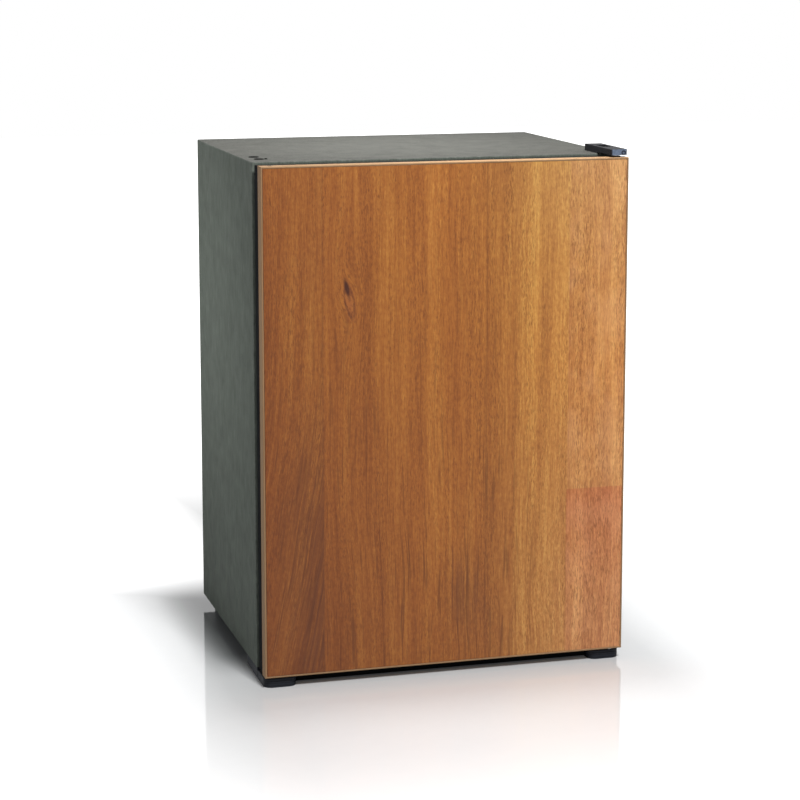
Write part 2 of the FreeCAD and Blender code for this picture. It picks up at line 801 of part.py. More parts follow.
def make_top_hinge_cover():
    """Moulded cap over the bracket, open below, with a window over the joggle."""
    body = new_body("top_hinge_cover", "case", ("0", "0", "case_height"))
    left = "hinge_left - fit_gap"
    right = "hinge_right + fit_gap"
    front = "-hinge_front - fit_gap"
    back = "hinge_back + fit_gap"
    outer = (f"{left} - cover_wall", f"{right} + cover_wall")
    add_box(body, outer, (f"{front} - cover_wall", f"{back} + cover_wall"), ("0", "cover_height"))
    cut_box(body, (f"{left} - cover_wall - cut_overrun", f"{right} + cover_wall + cut_overrun"),
            (f"{front} - cover_wall - cut_overrun", "-seat_gap"), ("-cut_overrun", "cover_skirt"))
    round_edges(body, "hinge_nose + cover_wall", "z", y=(f"{front} - cover_wall", f"{front} - cover_wall"))
    cut_box(body, (left, right), (front, back), ("-cut_overrun", "cover_height - cover_wall"))
    round_edges(body, "hinge_nose", "z", x=(left, right), y=(front, front))
    cut_box(body, (f"{left} + cover_window_rim", f"{right} - cover_window_rim"),
            ("-cover_window_lead", "cover_window - cover_window_lead"),
            ("cover_height - cover_wall - cut_overrun", "cover_height + cut_overrun"))


def make_hinge_screws():
    """The two screws that hold the top bracket."""
    body = new_body("hinge_screws", "case", ("screw_x", "screw_front", "case_height"))
    for pitches in range(2):
        spot = ("0", f"{pitches} * screw_pitch")
        add_rod(body, "z", spot, "screw_radius", ("arm_thickness - screw_length", "arm_thickness"))
        add_rod(body, "z", spot, "screw_head_radius", ("arm_thickness", "arm_thickness + screw_head"))


def make_bottom_hinge_pin():
    """Pin in the right foot's socket, with a collar that carries the door's bottom bush."""
    body = new_body("bottom_hinge_pin", "case", ("hinge_x", "pin_y", "0"))
    add_rod(body, "z", ("0", "0"), "pin_radius",
            ("socket_floor - foot_height", "door_bottom_lift + pin_reach"))
    add_rod(body, "z", ("0", "0"), "pin_head_radius",
            ("-foot_lug_top_drop", "door_bottom_lift - bush_flange - close_gap"))


def make_hinge_blanking_plugs():
    """Caps in the unused hinge holes at the left of the top."""
    body = new_body("hinge_blanking_plugs", "case", ("-screw_x", "plug_front", "case_height"))
    for pitches in range(2):
        spot = ("0", f"{pitches} * plug_pitch")
        add_rod(body, "z", spot, "screw_radius", ("-plug_stem", "0"))
        add_rod(body, "z", spot, "plug_radius", ("0", "plug_cap"))
    add_rod(body, "z", ("small_plug_offset", "0"), "small_plug_stem", ("-plug_stem", "0"))
    add_rod(body, "z", ("small_plug_offset", "0"), "small_plug_radius", ("0", "plug_cap"))


def make_bushes(label, spots):
    """Bushes in the door frame's rail; those on the hinge side have a flange to run on."""
    body = new_body(label, "door")
    for side, end in spots:
        centre = (f"{side}(hinge_x)", "hinge_setback")
        if end == "top":
            sleeve = ("door_height - bush_length", "door_height")
            flange = ("door_height", "door_height + bush_flange")
        else:
            sleeve = ("0", "bush_length")
            flange = ("-bush_flange", "0")
        add_rod(body, "z", centre, "bush_radius", sleeve)
        if not side:
            add_rod(body, "z", centre, "bush_flange_radius", flange)
        cut_rod(body, "z", centre, "pin_radius + close_gap",
                (f"{sleeve[0]} - cut_overrun", f"{sleeve[1]} + cut_overrun"))


# Door

def make_wood_panel():
    """Veneered decor board, flush with the frame's lip."""
    body = new_body("wood_panel", "door")
    half = "half_case - frame_lip - panel_gap"
    add_box(body, both(half), ("0", "panel_thickness"),
            ("frame_lip + panel_gap", "door_height - frame_lip - panel_gap"))
    round_edges(body, "panel_edge", "xz", y=("0", "0"))


def make_door_frame():
    """Edge profile: a thin lip round the panel and a rail behind it for the bushes."""
    body = new_body("door_frame", "door")
    add_box(body, both("half_case"), ("0", "frame_depth"), ("0", "door_height"))
    round_edges(body, "frame_nose", "xz", y=("0", "0"))
    cut_box(body, both("half_case - frame_lip"), ("-cut_overrun", "panel_thickness"),
            ("frame_lip", "door_height - frame_lip"))
    cut_box(body, both("half_case - frame_rail"),
            ("panel_thickness - cut_overrun", "frame_depth + cut_overrun"),
            ("frame_rail", "door_height - frame_rail"))
    for side in ("", "-"):
        spot = (f"{side}(hinge_x)", "hinge_setback")
        cut_rod(body, "z", spot, "bush_radius + close_gap",
                ("door_height - bush_length", "door_height + cut_overrun"))
        cut_rod(body, "z", spot, "bush_radius + close_gap", ("-cut_overrun", "bush_length"))


def make_door_shell():
    """Black tray behind the frame that holds the foam."""
    body = new_body("door_shell", "door")
    add_box(body, both("shell_half"), ("frame_depth", "shell_back"), ("shell_inset", "shell_high"))
    cut_box(body, both("tray_half"), ("frame_depth + shell_wall", "shell_back + cut_overrun"),
            ("shell_inset + shell_wall", "shell_high - shell_wall"))


def make_door_foam():
    """Foam that fills the tray, the liner's plateau and its dykes."""
    body = new_body("door_foam", "door")
    add_box(body, both("tray_half"), ("frame_depth + shell_wall", "shell_back - liner_wall"),
            ("shell_inset + shell_wall", "shell_high - shell_wall"))
    add_rounded(body, both("plateau_half - liner_wall"),
                ("plateau_low + liner_wall", "plateau_high - liner_wall"),
                "plateau_corner - liner_wall", ("frame_depth + shell_wall", "plateau_back - liner_wall"))


def make_door_liner():
    """White sheet that closes the tray, with a plateau and two dykes for the racks."""
    body = new_body("door_liner", "door")
    add_rounded(body, both("plateau_half"), ("plateau_low", "plateau_high"), "plateau_corner",
                ("shell_back - liner_wall", "plateau_back"))
    add_box(body, both("tray_half"), ("shell_back - liner_wall", "shell_back"),
            ("shell_inset + shell_wall", "shell_high - shell_wall"))
    add_rounded(body, both("plateau_half - liner_wall"),
                ("plateau_low + liner_wall", "plateau_high - liner_wall"), "plateau_corner - liner_wall",
                ("shell_back - liner_wall - cut_overrun", "plateau_back - liner_wall"), cut=True)
    for side in ("", "-"):
        across = (f"{side}(plateau_half - dyke_width)", f"{side}plateau_half")
        add_box(body, across, ("plateau_back", "plateau_back + dyke_depth"),
                ("plateau_low + dyke_end_inset", "plateau_high - dyke_end_inset"))
    round_edges(body, "dyke_round", "z", y=("plateau_back + dyke_depth", "plateau_back + dyke_depth"))


def make_door_gasket():
    """Magnetic seal: a hollow ring, open towards the liner."""
    body = new_body("door_gasket", "door")
    ring_box(body, "gasket_half", "gasket_inset", "gasket_high", "gasket_width",
             ("shell_back", "gasket_back"))

    def channel(sketch):
        for inset in ("gasket_lip", "gasket_width - gasket_lip"):
            half = f"gasket_half - ({inset})"
            draw_rectangle(sketch, both(half),
                           (f"gasket_inset + {inset}", f"gasket_high - ({inset})"))
    extrude(body, "y", ("shell_back", "gasket_back - gasket_skin"), channel, cut=True)


def make_gasket_magnet():
    """Magnet strip at the bottom of the seal's channel."""
    body = new_body("gasket_magnet", "door")
    inset = "gasket_inset + gasket_lip + fit_gap"
    back = "gasket_back - gasket_skin"
    ring_box(body, f"half_case - ({inset})", inset, f"door_height - ({inset})",
             "gasket_width - 2 * gasket_lip - 2 * fit_gap", (f"{back} - magnet_depth", back))


def make_door_rack(label, level, height):
    """Open bin between the dykes."""
    body = new_body(label, "door", ("0", "0", level))
    back = "plateau_back + rack_depth"
    add_box(body, both("rack_half"), ("plateau_back", back), ("0", height))
    round_edges(body, "rack_corner", "z", y=(back, back))
    cut_box(body, both("rack_half - rack_wall"), ("plateau_back + rack_wall", f"{back} - rack_wall"),
            ("rack_wall", f"{height} + cut_overrun"))
    round_edges(body, "rack_corner - rack_wall", "z", y=(f"{back} - rack_wall", f"{back} - rack_wall"))


# Interior

def make_shelf(label, pitches):
    """Wire shelf lying on one pair of ledges."""
    level = f"ledge_level + {pitches} * ledge_pitch + ledge_height + close_gap + bar_radius"
    body = new_body(label, "case", ("0", "0", level))
    ends = ("shelf_front", "shelf_back")
    inner = "shelf_half - bar_radius"
    for side in ("", "-"):
        add_rod(body, "y", (f"{side}(shelf_half - bar_radius)", "0"), "bar_radius", ends)
    for spot in ("shelf_front + bar_inset", "shelf_back - bar_inset"):
        add_rod(body, "x", (spot, "0"), "cross_bar_radius", both(inner))
    count = int(2 * worth(inner) // worth("wire_pitch"))
    margin = f"(2 * ({inner}) - {count - 1} * wire_pitch) / 2"
    wire = add_rod(body, "y", (f"{margin} - ({inner})", "cross_bar_radius"), "wire_radius",
                   ("shelf_front + wire_inset", "shelf_back - wire_inset"))
    repeat(body, wire, "x", "wire_pitch", count)


def make_evaporator_fins():
    """Finned aluminium plate on the liner's back wall, with a boss to the cold tube."""
    body = new_body("evaporator_fins", "case")
    heights = ("evaporator_bottom", "evaporator_bottom + evaporator_height")
    add_box(body, both("evaporator_width / 2"), ("plate_front", "room_back"), heights)
    add_box(body, both("boss_width / 2"), ("room_back", "cavity_back"),
            ("evaporator_level - boss_height / 2", "evaporator_level + boss_height / 2"))
    count = int(worth("evaporator_width - fin_thickness") // worth("fin_pitch")) + 1
    first = f"-({count - 1} * fin_pitch + fin_thickness) / 2"
    fin = add_box(body, (first, f"{first} + fin_thickness"), ("fin_front", "plate_front"), heights)
    repeat(body, fin, "x", "fin_pitch", count)


def make_drip_tray():
    """Gutter under the fins, drained through the back wall."""
    body = new_body("drip_tray", "case")
    half = "evaporator_width / 2 + tray_overhang"
    add_box(body, both(half), ("tray_front", "room_back"), ("tray_bottom", "tray_top"))
    cut_box(body, both(f"{half} - tray_wall"), ("tray_front + tray_wall", "room_back - tray_wall"),
            ("tray_bottom + tray_wall", "tray_top + cut_overrun"))
    cut_rod(body, "y", ("0", "drain_level"), "drain_radius + fit_gap",
            ("room_back - tray_wall - cut_overrun", "room_back + cut_overrun"))


def make_drain_tube():
    """Thin tube from the gutter through the back wall down to the dish."""
    height = "drain_level"
    out = "drain_standoff"
    route = [("0", "-back_wall - liner_wall - tray_wall", height), ("0", out, height),
             ("0", out, f"{height} - drain_drop")]
    bent_tube("drain_tube", "unit", route, "drain_radius", "drain_bend", "drain_bore")


def make_evaporation_dish():
    """Dish on the back panel where the drained water dries off."""
    body = new_body("evaporation_dish", "unit", ("0", "0", "dish_top - dish_height"))
    add_box(body, both("dish_width / 2"), ("0", "dish_depth"), ("0", "dish_height"))
    round_edges(body, "rack_corner", "z", y=("dish_depth", "dish_depth"))
    cut_box(body, both("dish_width / 2 - tray_wall"), ("tray_wall", "dish_depth - tray_wall"),
            ("tray_wall", "dish_height + cut_overrun"))


def make_thermostat_housing():
    """Moulded housing under the roof at the right, open upwards."""
    body = new_body("thermostat_housing", "case")
    back = "housing_front + housing_length"
    add_box(body, ("housing_left", "housing_right"), ("housing_front", back),
            ("housing_bottom", "room_high"))
    round_edges(body, "housing_round", "xyz", z=("housing_bottom", "housing_bottom"))
    cut_box(body, ("housing_left + housing_wall", "housing_right - housing_wall"),
            ("housing_front + housing_wall", f"{back} - housing_wall"),
            ("housing_bottom + housing_wall", "room_high + cut_overrun"))
    cut_rod(body, "y", ("knob_x", "knob_z"), "stem_radius + fit_gap",
            ("housing_front - cut_overrun", "housing_front + housing_wall + cut_overrun"))
    cut_box(body, ("lens_left", "lens_left + lens_width"), ("lens_near", "lens_near + lens_length"),
            ("housing_bottom - cut_overrun", "housing_bottom + housing_wall + cut_overrun"))
    for post in ("lens_near - board_post_radius - fit_gap",
                 "lens_near + lens_length + board_post_radius + fit_gap"):
        add_rod(body, "z", ("lens_left + lens_width / 2", post), "board_post_radius",
                ("housing_bottom + housing_wall", "board_bottom"))


def make_thermostat_regulator():
    """Regulator behind the knob, under the liner's roof."""
    body = new_body("thermostat_regulator", "case")
    near = "housing_front + housing_wall"
    add_box(body, ("knob_x - regulator_width / 2", "knob_x + regulator_width / 2"),
            (near, f"{near} + regulator_length"),
            ("housing_bottom + housing_wall", "housing_bottom + housing_wall + regulator_height"))
    cut_rod(body, "y", ("knob_x", "knob_z"), "stem_radius + close_gap",
            (f"{near} - cut_overrun", f"{near} + stem_length"))


def make_thermostat_knob():
    """Turned knob with grip ribs and a stem into the regulator."""
    body = new_body("thermostat_knob", "case", ("knob_x", "housing_front - seat_gap", "knob_z"))
    add_rod(body, "y", ("0", "0"), "knob_radius", ("-knob_depth", "0"))
    add_rod(body, "y", ("0", "0"), "stem_radius", ("0", "housing_wall + stem_length - seat_gap"))
    beyond = "knob_radius + cut_overrun"
    for across in ((f"-({beyond})", "-knob_rib"), ("knob_rib", beyond)):
        cut_box(body, across, ("-knob_depth - cut_overrun", "-knob_grip"), both(beyond))
    add_rod(body, "y", ("0", "0"), "knob_radius - knob_rib_width",
            ("-knob_depth + knob_rib", "-knob_grip"))


def make_light_lens():
    """Clear cover of the lamp, flush with the housing's underside."""
    body = new_body("light_lens", "case", ("lens_left", "lens_near", "housing_bottom"))
    add_box(body, ("fit_gap", "lens_width - fit_gap"), ("fit_gap", "lens_length - fit_gap"),
            ("0", "lens_thickness"))


def make_light_board():
    """Small lamp board on two posts above the lens."""
    body = new_body("light_board", "case", ("lens_left + lens_width / 2", "lens_near", "board_bottom"))
    overlap = "2 * board_post_radius + fit_gap"
    add_box(body, both("lens_width / 3"), (f"-({overlap})", f"lens_length + {overlap}"),
            ("0", "board_thickness"))
    diode = add_box(body, both("diode_size / 2"), ("diode_pitch - diode_size", "diode_pitch"),
                    ("-diode_height", "0"))
    count = int(worth("lens_length - diode_size") // worth("diode_pitch"))
    repeat(body, diode, "y", "diode_pitch", count)


# Cooling unit

def make_evaporator_plug():
    """Insulating plug in the back wall round the cold tube."""
    block = DOC.addObject("Part::Box", "plug_block")
    bind(block, "Length", "plug_width")
    bind(block, "Width", "back_wall")
    bind(block, "Height", "plug_height")
    place(block, "unit", ("-plug_width / 2", "-back_wall", "evaporator_level - plug_height / 2"))
    channel = DOC.addObject("Part::Feature", "plug_channel")
    points = [[worth(text) for text in point] for point in cold_route()[2:6]]
    points[0][1] = worth("cut_overrun")
    points[-1][1] = worth("cut_overrun")
    channel.Shape = swept(points, worth("tube_bend"), worth("tube_radius + 2 * seat_gap"))
    place(channel, "unit")
    plug = DOC.addObject("Part::Cut", "evaporator_plug")
    plug.Base = block
    plug.Tool = channel
    plug.Label = "evaporator_plug"
    PARTS.append(plug)


def cold_route():
    """Points of the cold tube, from the condenser's outlet through the plug and back out."""
    run = "evaporator_run"
    return [("condenser_outlet", "tube_y", "condenser_level - condenser_drop"),
            ("condenser_outlet", "tube_y", "evaporator_level"),
            ("leg_spread", "tube_y", "evaporator_level"),
            ("leg_spread", run, "evaporator_level"),
            ("-leg_spread", run, "evaporator_level"),
            ("-leg_spread", "tube_y", "evaporator_level"),
            ("-leg_spread", "tube_y", "leg_low")]


def make_evaporator_tube():
    """Cold tube of the cooling unit."""
    bent_tube("evaporator_tube", "unit", cold_route(), "tube_radius", "tube_bend")


def make_boiler_tube():
    """Riser from the boiler to the condenser."""
    route = [("-boiler_x", "tube_y", "boiler_seat"), ("-boiler_x", "tube_y", "condenser_level"),
             ("-riser_end", "tube_y", "condenser_level")]
    bent_tube("boiler_tube", "unit", route, "riser_radius", "riser_bend")


def make_condenser_tube():
    """Tube through the cooling fins, bent down at its outlet."""
    route = [("-riser_end", "tube_y", "condenser_level"),
             ("condenser_outlet", "tube_y", "condenser_level"),
             ("condenser_outlet", "tube_y", "condenser_level - condenser_drop")]
    bent_tube("condenser_tube", "unit", route, "riser_radius", "riser_bend")


def make_condenser_fins():
    """Row of square sheet fins on the condenser tube."""
    body = new_body("condenser_fins", "unit", ("-cooling_fin_start", "tube_y", "condenser_level"))

    def draw(sketch):
        draw_rectangle(sketch, both("fin_size / 2"), both("fin_size / 2"))
        draw_circle(sketch, ("0", "0"), "riser_radius + close_gap")
    fin = extrude(body, "x", ("0", "cooling_fin_thickness"), draw)
    count = int(worth("cooling_fin_span") // worth("cooling_fin_pitch"))
    repeat(body, fin, "x", "cooling_fin_pitch", count)


def make_gas_heat_exchanger():
    """Wider vertical tube between the cold tube and the absorber coil."""
    body = new_body("gas_heat_exchanger", "unit", ("-leg_spread", "tube_y", "exchanger_low"))
    turn(body, [("0", "0"), ("tube_radius", "0"), ("exchanger_radius", "exchanger_cap"),
                ("exchanger_radius", "exchanger_length - exchanger_cap"),
                ("tube_radius", "exchanger_length"), ("0", "exchanger_length")])


def make_absorber_coil():
    """Tube that winds down to the absorber vessel in sloping passes."""
    level = "exchanger_low"
    route = [("-leg_spread", "tube_y", level)]
    level = f"{level} - coil_lead"
    route.append(("-leg_spread", "tube_y", level))
    turns = int(worth("exchanger_low - coil_lead - neck_top - coil_bend - coil_slope")
                // worth("2 * (coil_pitch + coil_slope)"))
    for loop in range(turns):
        for side in ("coil_right", "-coil_left"):
            level = f"{level} - coil_slope"
            route.append((side, "tube_y", level))
            level = f"{level} - coil_pitch"
            route.append((side, "tube_y", level))
    route.append(("neck_x", "tube_y", f"{level} - coil_slope"))
    route.append(("neck_x", "tube_y", "neck_top"))
    bent_tube("absorber_coil", "unit", route, "tube_radius", "coil_bend")


def make_absorber_vessel():
    """Round vessel at the bottom, with a neck for the coil."""
    body = new_body("absorber_vessel", "unit", ("0", "tube_y", "vessel_level"))
    add_rod(body, "x", ("0", "0"), "vessel_radius", ("-vessel_left", "vessel_right"))
    round_rims(body, "vessel_round", "x", both("vessel_length"))
    add_rod(body, "z", ("neck_x", "0"), "neck_radius", ("0", "neck_top - vessel_level"))


def round_rims(body, radius, axis, span):
    """Round the circular edges, square to an axis, whose centres lie within a span."""
    base = body.Tip
    low, high = (worth(text) for text in span)
    slack = worth("close_gap") / 2
    names = []
    for index, edge in enumerate(base.Shape.Edges, start=1):
        if edge.Degenerated or edge.Curve.TypeId != "Part::GeomCircle":
            continue
        if abs(getattr(edge.Curve.Axis, axis)) < 1 - 1e-6:
            continue
        if low - slack <= getattr(edge.Curve.Center, axis) <= high + slack:
            names.append(f"Edge{index}")
    feature = body.newObject("PartDesign::Fillet", f"{body.Label}_rims")
    feature.Base = (base, names)
    bind(feature, "Radius", radius)
    DOC.recompute()


def make_liquid_heat_exchanger():
    """Return tube from the vessel to the foot of the boiler."""
    route = [("-vessel_left", "tube_y", "vessel_level"), ("-boiler_x", "tube_y", "vessel_level"),
             ("-boiler_x", "tube_y", "boiler_bottom")]
    bent_tube("liquid_heat_exchanger", "unit", route, "liquid_radius", "liquid_bend")


def make_boiler_jacket():
    """Insulated jacket round the boiler tube and the heating cartridge."""
    body = new_body("boiler_jacket", "unit", ("-boiler_x", "tube_y", "boiler_bottom"))
    add_rod(body, "z", ("0", "0"), "boiler_radius", ("0", "boiler_length"))
    round_rims(body, "boiler_round", "z", ("0", "boiler_length"))
    cut_rod(body, "z", ("0", "0"), "riser_radius + fit_gap",
            ("boiler_seat - boiler_bottom", "boiler_length + cut_overrun"))
    cut_rod(body, "z", ("-heater_offset", "0"), "heater_radius + fit_gap",
            ("-cut_overrun", "heater_length - heater_out"))


def make_heating_cartridge():
    """Electric cartridge pushed up into the jacket."""
    body = new_body("heating_cartridge", "unit", ("-(heater_x)", "tube_y", "heater_low"))
    add_rod(body, "z", ("0", "0"), "heater_radius", ("0", "heater_length"))


def make_heater_lead():
    """Lead from the cartridge into the terminal box's cover."""
    route = [("-(heater_x)", "tube_y", "heater_low"), ("-(heater_x)", "tube_y", "lead_level"),
             ("-(heater_x)", "box_depth + box_wall", "lead_level")]
    bent_tube("heater_lead", "unit", route, "lead_radius", "lead_bend")


def unit_screw_spots():
    """Places of the cooling unit's screws on the back panel."""
    upper = "bracket_level - bracket_flange / 2"
    lower = "saddle_top - bracket_flange / 2"
    return [("unit_screw_inset - bracket_margin - boiler_radius - boiler_x", upper),
            ("bracket_margin + exchanger_radius - leg_spread - unit_screw_inset", upper),
            ("saddle_left + unit_screw_inset", lower),
            ("saddle_left + saddle_width - unit_screw_inset", lower)]


def make_unit_brackets():
    """Two angle brackets that carry the cooling unit on the back panel."""
    body = new_body("unit_brackets", "unit")
    plates = [("-bracket_margin - boiler_radius - boiler_x",
               "bracket_margin + exchanger_radius - leg_spread", "bracket_level"),
              ("saddle_left", "saddle_left + saddle_width", "saddle_top")]
    for left, right, top in plates:
        add_box(body, (left, right), ("0", "bracket_reach"), (f"{top} - bracket_thickness", top))
        add_box(body, (left, right), ("0", "bracket_thickness"),
                (f"{top} - bracket_flange", f"{top} - bracket_thickness"))
    through = ("bracket_level - bracket_thickness - cut_overrun", "bracket_level + cut_overrun")
    cut_rod(body, "z", ("-boiler_x", "tube_y"), "riser_radius + fit_gap", through)
    cut_rod(body, "z", ("-leg_spread", "tube_y"), "exchanger_radius + fit_gap", through)
    for x, z in unit_screw_spots():
        cut_rod(body, "y", (x, z), "screw_radius + fit_gap",
                ("-cut_overrun", "bracket_thickness + cut_overrun"))


def make_unit_screws():
    """The screws of the two brackets."""
    body = new_body("unit_screws", "unit")
    for x, z in unit_screw_spots():
        add_rod(body, "y", (x, z), "screw_radius",
                ("bracket_thickness - screw_length", "bracket_thickness"))
        add_rod(body, "y", (x, z), "screw_head_radius",
                ("bracket_thickness", "bracket_thickness + screw_head"))


# Terminal box

def make_terminal_box():
    """Moulded box on the back panel, open to the back, with the gland's hole."""
    body = new_body("terminal_box", "unit")
    add_box(body, ("-box_left", "-(box_right)"), ("0", "box_depth"), ("box_bottom", "box_top"))
    round_edges(body, "box_round", "y")
    cut_box(body, ("box_wall - box_left", "-(box_right) - box_wall"),
            ("box_wall", "box_depth + cut_overrun"), ("box_bottom + box_wall", "box_top - box_wall"))
    cut_rod(body, "x", ("box_depth / 2", "gland_level"), "gland_stem_radius + fit_gap",
            ("-box_left - cut_overrun", "box_wall - box_left + cut_overrun"))


def make_terminal_block():
    """Block with three clamping screws inside the box."""
    body = new_body("terminal_block", "unit", ("-(box_right) - box_width / 2", "box_wall", "gland_level"))
    add_box(body, both("block_width / 2"), ("0", "block_depth"), both("block_height / 2"))
    hole = cut_rod(body, "y", ("-block_screw_pitch", "0"), "block_screw_radius",
                   ("block_depth - block_screw_depth", "block_depth + cut_overrun"))
    repeat(body, hole, "x", "block_screw_pitch", 3)


def make_terminal_box_cover():
    """Flat cover of the terminal box."""
    body = new_body("terminal_box_cover", "unit")
    add_box(body, ("-box_left", "-(box_right)"), ("box_depth", "box_depth + box_wall"),
            ("box_bottom", "box_top"))
    round_edges(body, "box_round", "y")


def make_cable_gland():
    """Bored gland in the side of the terminal box."""
    body = new_body("cable_gland", "unit", ("-box_left", "box_depth / 2", "gland_level"))
    add_rod(body, "x", ("0", "0"), "gland_radius", ("-gland_length", "0"))
    round_rims(body, "gland_round", "x", ("-gland_length", "-gland_nut"))
    add_rod(body, "x", ("0", "0"), "gland_stem_radius", ("0", "box_wall + gland_nut"))
    cut_rod(body, "x", ("0", "0"), "gland_bore",
            ("-gland_length - cut_overrun", "box_wall + gland_nut + cut_overrun"))


def make_cabinet():
    """Make everything that stands still except the cooling unit."""
    make_cabinet_wrap()
    make_back_panel()
    make_base_pan()
    make_insulation_foam()
    make_inner_liner()
    make_base_front_rail()
    make_front_foot("front_foot_left", -1)
    make_front_foot("front_foot_right", 1)
    make_rear_feet()
    make_top_hinge_bracket()
    make_top_hinge_pin()
    make_top_hinge_cover()
    make_hinge_screws()
    make_bottom_hinge_pin()
    make_hinge_blanking_plugs()
    make_shelf("shelf_upper", 2)
    make_shelf("shelf_lower", 0)
    make_evaporator_fins()
    make_drip_tray()
    make_thermostat_housing()
    make_thermostat_regulator()
    make_light_lens()
    make_light_board()


def make_door():
    """Make everything that swings with the door."""
    make_wood_panel()
    make_door_frame()
    make_door_shell()
    make_door_foam()
    make_door_liner()
    make_door_gasket()
    make_gasket_magnet()
    make_door_rack("door_rack_upper", "rack_upper_level", "rack_upper_height")
    make_door_rack("door_rack_lower", "rack_lower_level", "rack_lower_height")
    make_bushes("hinge_bush_top", [("", "top")])
    make_bushes("hinge_bush_bottom", [("", "bottom")])
    make_bushes("spare_bushes", [("-", "top"), ("-", "bottom")])


def make_cooling_unit():
    """Make the cooling unit and its electric box."""
    make_evaporator_plug()
    make_evaporator_tube()
    make_boiler_tube()
    make_condenser_tube()
    make_condenser_fins()
    make_gas_heat_exchanger()
    make_absorber_coil()
    make_absorber_vessel()
    make_liquid_heat_exchanger()
    make_boiler_jacket()
    make_heating_cartridge()
    make_heater_lead()
    make_unit_brackets()
    make_unit_screws()
    make_drain_tube()
    make_evaporation_dish()
    make_terminal_box()
    make_terminal_block()
    make_terminal_box_cover()
    make_cable_gland()


def write_parts():
    """Check every object of the document, then write one file for each sub-part."""
    DOC.recompute()
    for thing in DOC.Objects:
        if "Invalid" in thing.State or "Error" in thing.State:
            raise RuntimeError(f"{thing.Label} failed: {thing.State}")
    for thing in PARTS:
        if thing.Shape.isNull() or not thing.Shape.isValid() or not thing.Shape.Solids:
            raise RuntimeError(f"{thing.Label} has no valid solid")
    os.makedirs("parts", exist_ok=True)
    for thing in PARTS:
        thing.Shape.exportStep(f"parts/{thing.Label}.step")
        box = thing.Shape.BoundBox
        print(f"{thing.Label}: {len(thing.Shape.Solids)} solid, {thing.Shape.Volume:.0f} mm3, "
              f"x {box.XMin:.1f} {box.XMax:.1f}, y {box.YMin:.1f} {box.YMax:.1f}, "
              f"z {box.ZMin:.1f} {box.ZMax:.1f}")


fill_sheet()
make_cabinet()
make_door()
make_thermostat_knob()
make_cooling_unit()
write_parts()
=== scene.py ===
"""Looks of a free-standing minibar fridge, dressed round its packed construction model.

Lengths inside the sub-assemblies are in millimetres and count from the sub-assembly's station, as the
construction model's own sizes do. Finishes, lights and finished meshes are in metres, in the model's frame.
"""
import json
import logging
import math
from dataclasses import dataclass, field
from enum import Enum
from functools import cache
from typing import Callable, ClassVar, Iterable, Optional, Sequence

import bmesh
import bpy
from mathutils import Matrix, Vector


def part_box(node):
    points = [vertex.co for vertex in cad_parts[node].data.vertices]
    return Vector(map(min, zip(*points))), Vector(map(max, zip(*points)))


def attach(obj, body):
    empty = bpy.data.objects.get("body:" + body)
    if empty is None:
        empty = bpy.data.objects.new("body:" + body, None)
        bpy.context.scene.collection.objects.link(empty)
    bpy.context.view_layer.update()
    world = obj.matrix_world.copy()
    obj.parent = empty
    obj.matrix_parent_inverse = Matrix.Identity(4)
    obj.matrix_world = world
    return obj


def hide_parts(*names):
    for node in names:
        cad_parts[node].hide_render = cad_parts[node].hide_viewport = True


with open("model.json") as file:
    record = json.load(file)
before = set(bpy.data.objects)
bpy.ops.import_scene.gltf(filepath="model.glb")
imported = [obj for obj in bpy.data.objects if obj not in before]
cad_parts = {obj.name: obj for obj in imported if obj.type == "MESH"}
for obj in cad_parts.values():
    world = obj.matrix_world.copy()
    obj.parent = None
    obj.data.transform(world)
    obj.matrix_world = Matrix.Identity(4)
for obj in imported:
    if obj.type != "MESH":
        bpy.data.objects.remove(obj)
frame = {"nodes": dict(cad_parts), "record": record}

LOG = logging.getLogger("minibar_fridge")
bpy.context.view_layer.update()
MM = 0.001
BLACK = (0.0, 0.0, 0.0)
WHITE = (1.0, 1.0, 1.0)

Colour = tuple[float, float, float]
Span = tuple[float, float]
Stops = Sequence[tuple[float, Colour]]
Socket = bpy.types.NodeSocket


def seen(red: int, green: int, blue: int) -> Colour:
    """Turn a colour as an eye reads it on a screen, 0 to 255, into linear light."""
    shares = (level / 255 for level in (red, green, blue))
    return tuple(share / 12.92 if share <= 0.04045 else ((share + 0.055) / 1.055) ** 2.4 for share in shares)


def scaled(colour: Colour, by: float) -> Colour:
    """Make a colour darker or lighter, held at white."""
    return tuple(min(1.0, level * by) for level in colour)


class Body(Enum):
    """Bodies that pieces ride on."""

    CABINET = "cabinet"
    DOOR = "door"
    KNOB = "thermostat_knob"


class Station(Enum):
    """Points that each group's sizes count from, in millimetres of the model's frame."""

    CASE = (0.0, -175.5, 12.0)
    DOOR = (0.0, -217.5, 12.3)
    UNIT = (0.0, 122.5, 12.0)


class Axis(Enum):
    """Directions that bars, rings and turned pieces stand in."""

    X = (1.0, 0.0, 0.0)
    Y = (0.0, 1.0, 0.0)
    Z = (0.0, 0.0, 1.0)

    def turned(self, foot: Sequence[float]) -> Matrix:
        """Give the move that stands something upright at a point into this direction."""
        turn = Vector((0, 0, 1)).rotation_difference(Vector(self.value)).to_matrix().to_4x4()
        return Matrix.Translation(Vector(foot)) @ turn


# Shader nodes

def written(operation: str) -> Callable[..., "Term"]:
    """Make the method that writes one kind of sum as a node."""
    def method(term: "Term", *others: "Value") -> "Term":
        """Write the sum of this value with others."""
        return term.tree.output("ShaderNodeMath", 0, dict(enumerate((term, *others))), operation=operation)
    return method


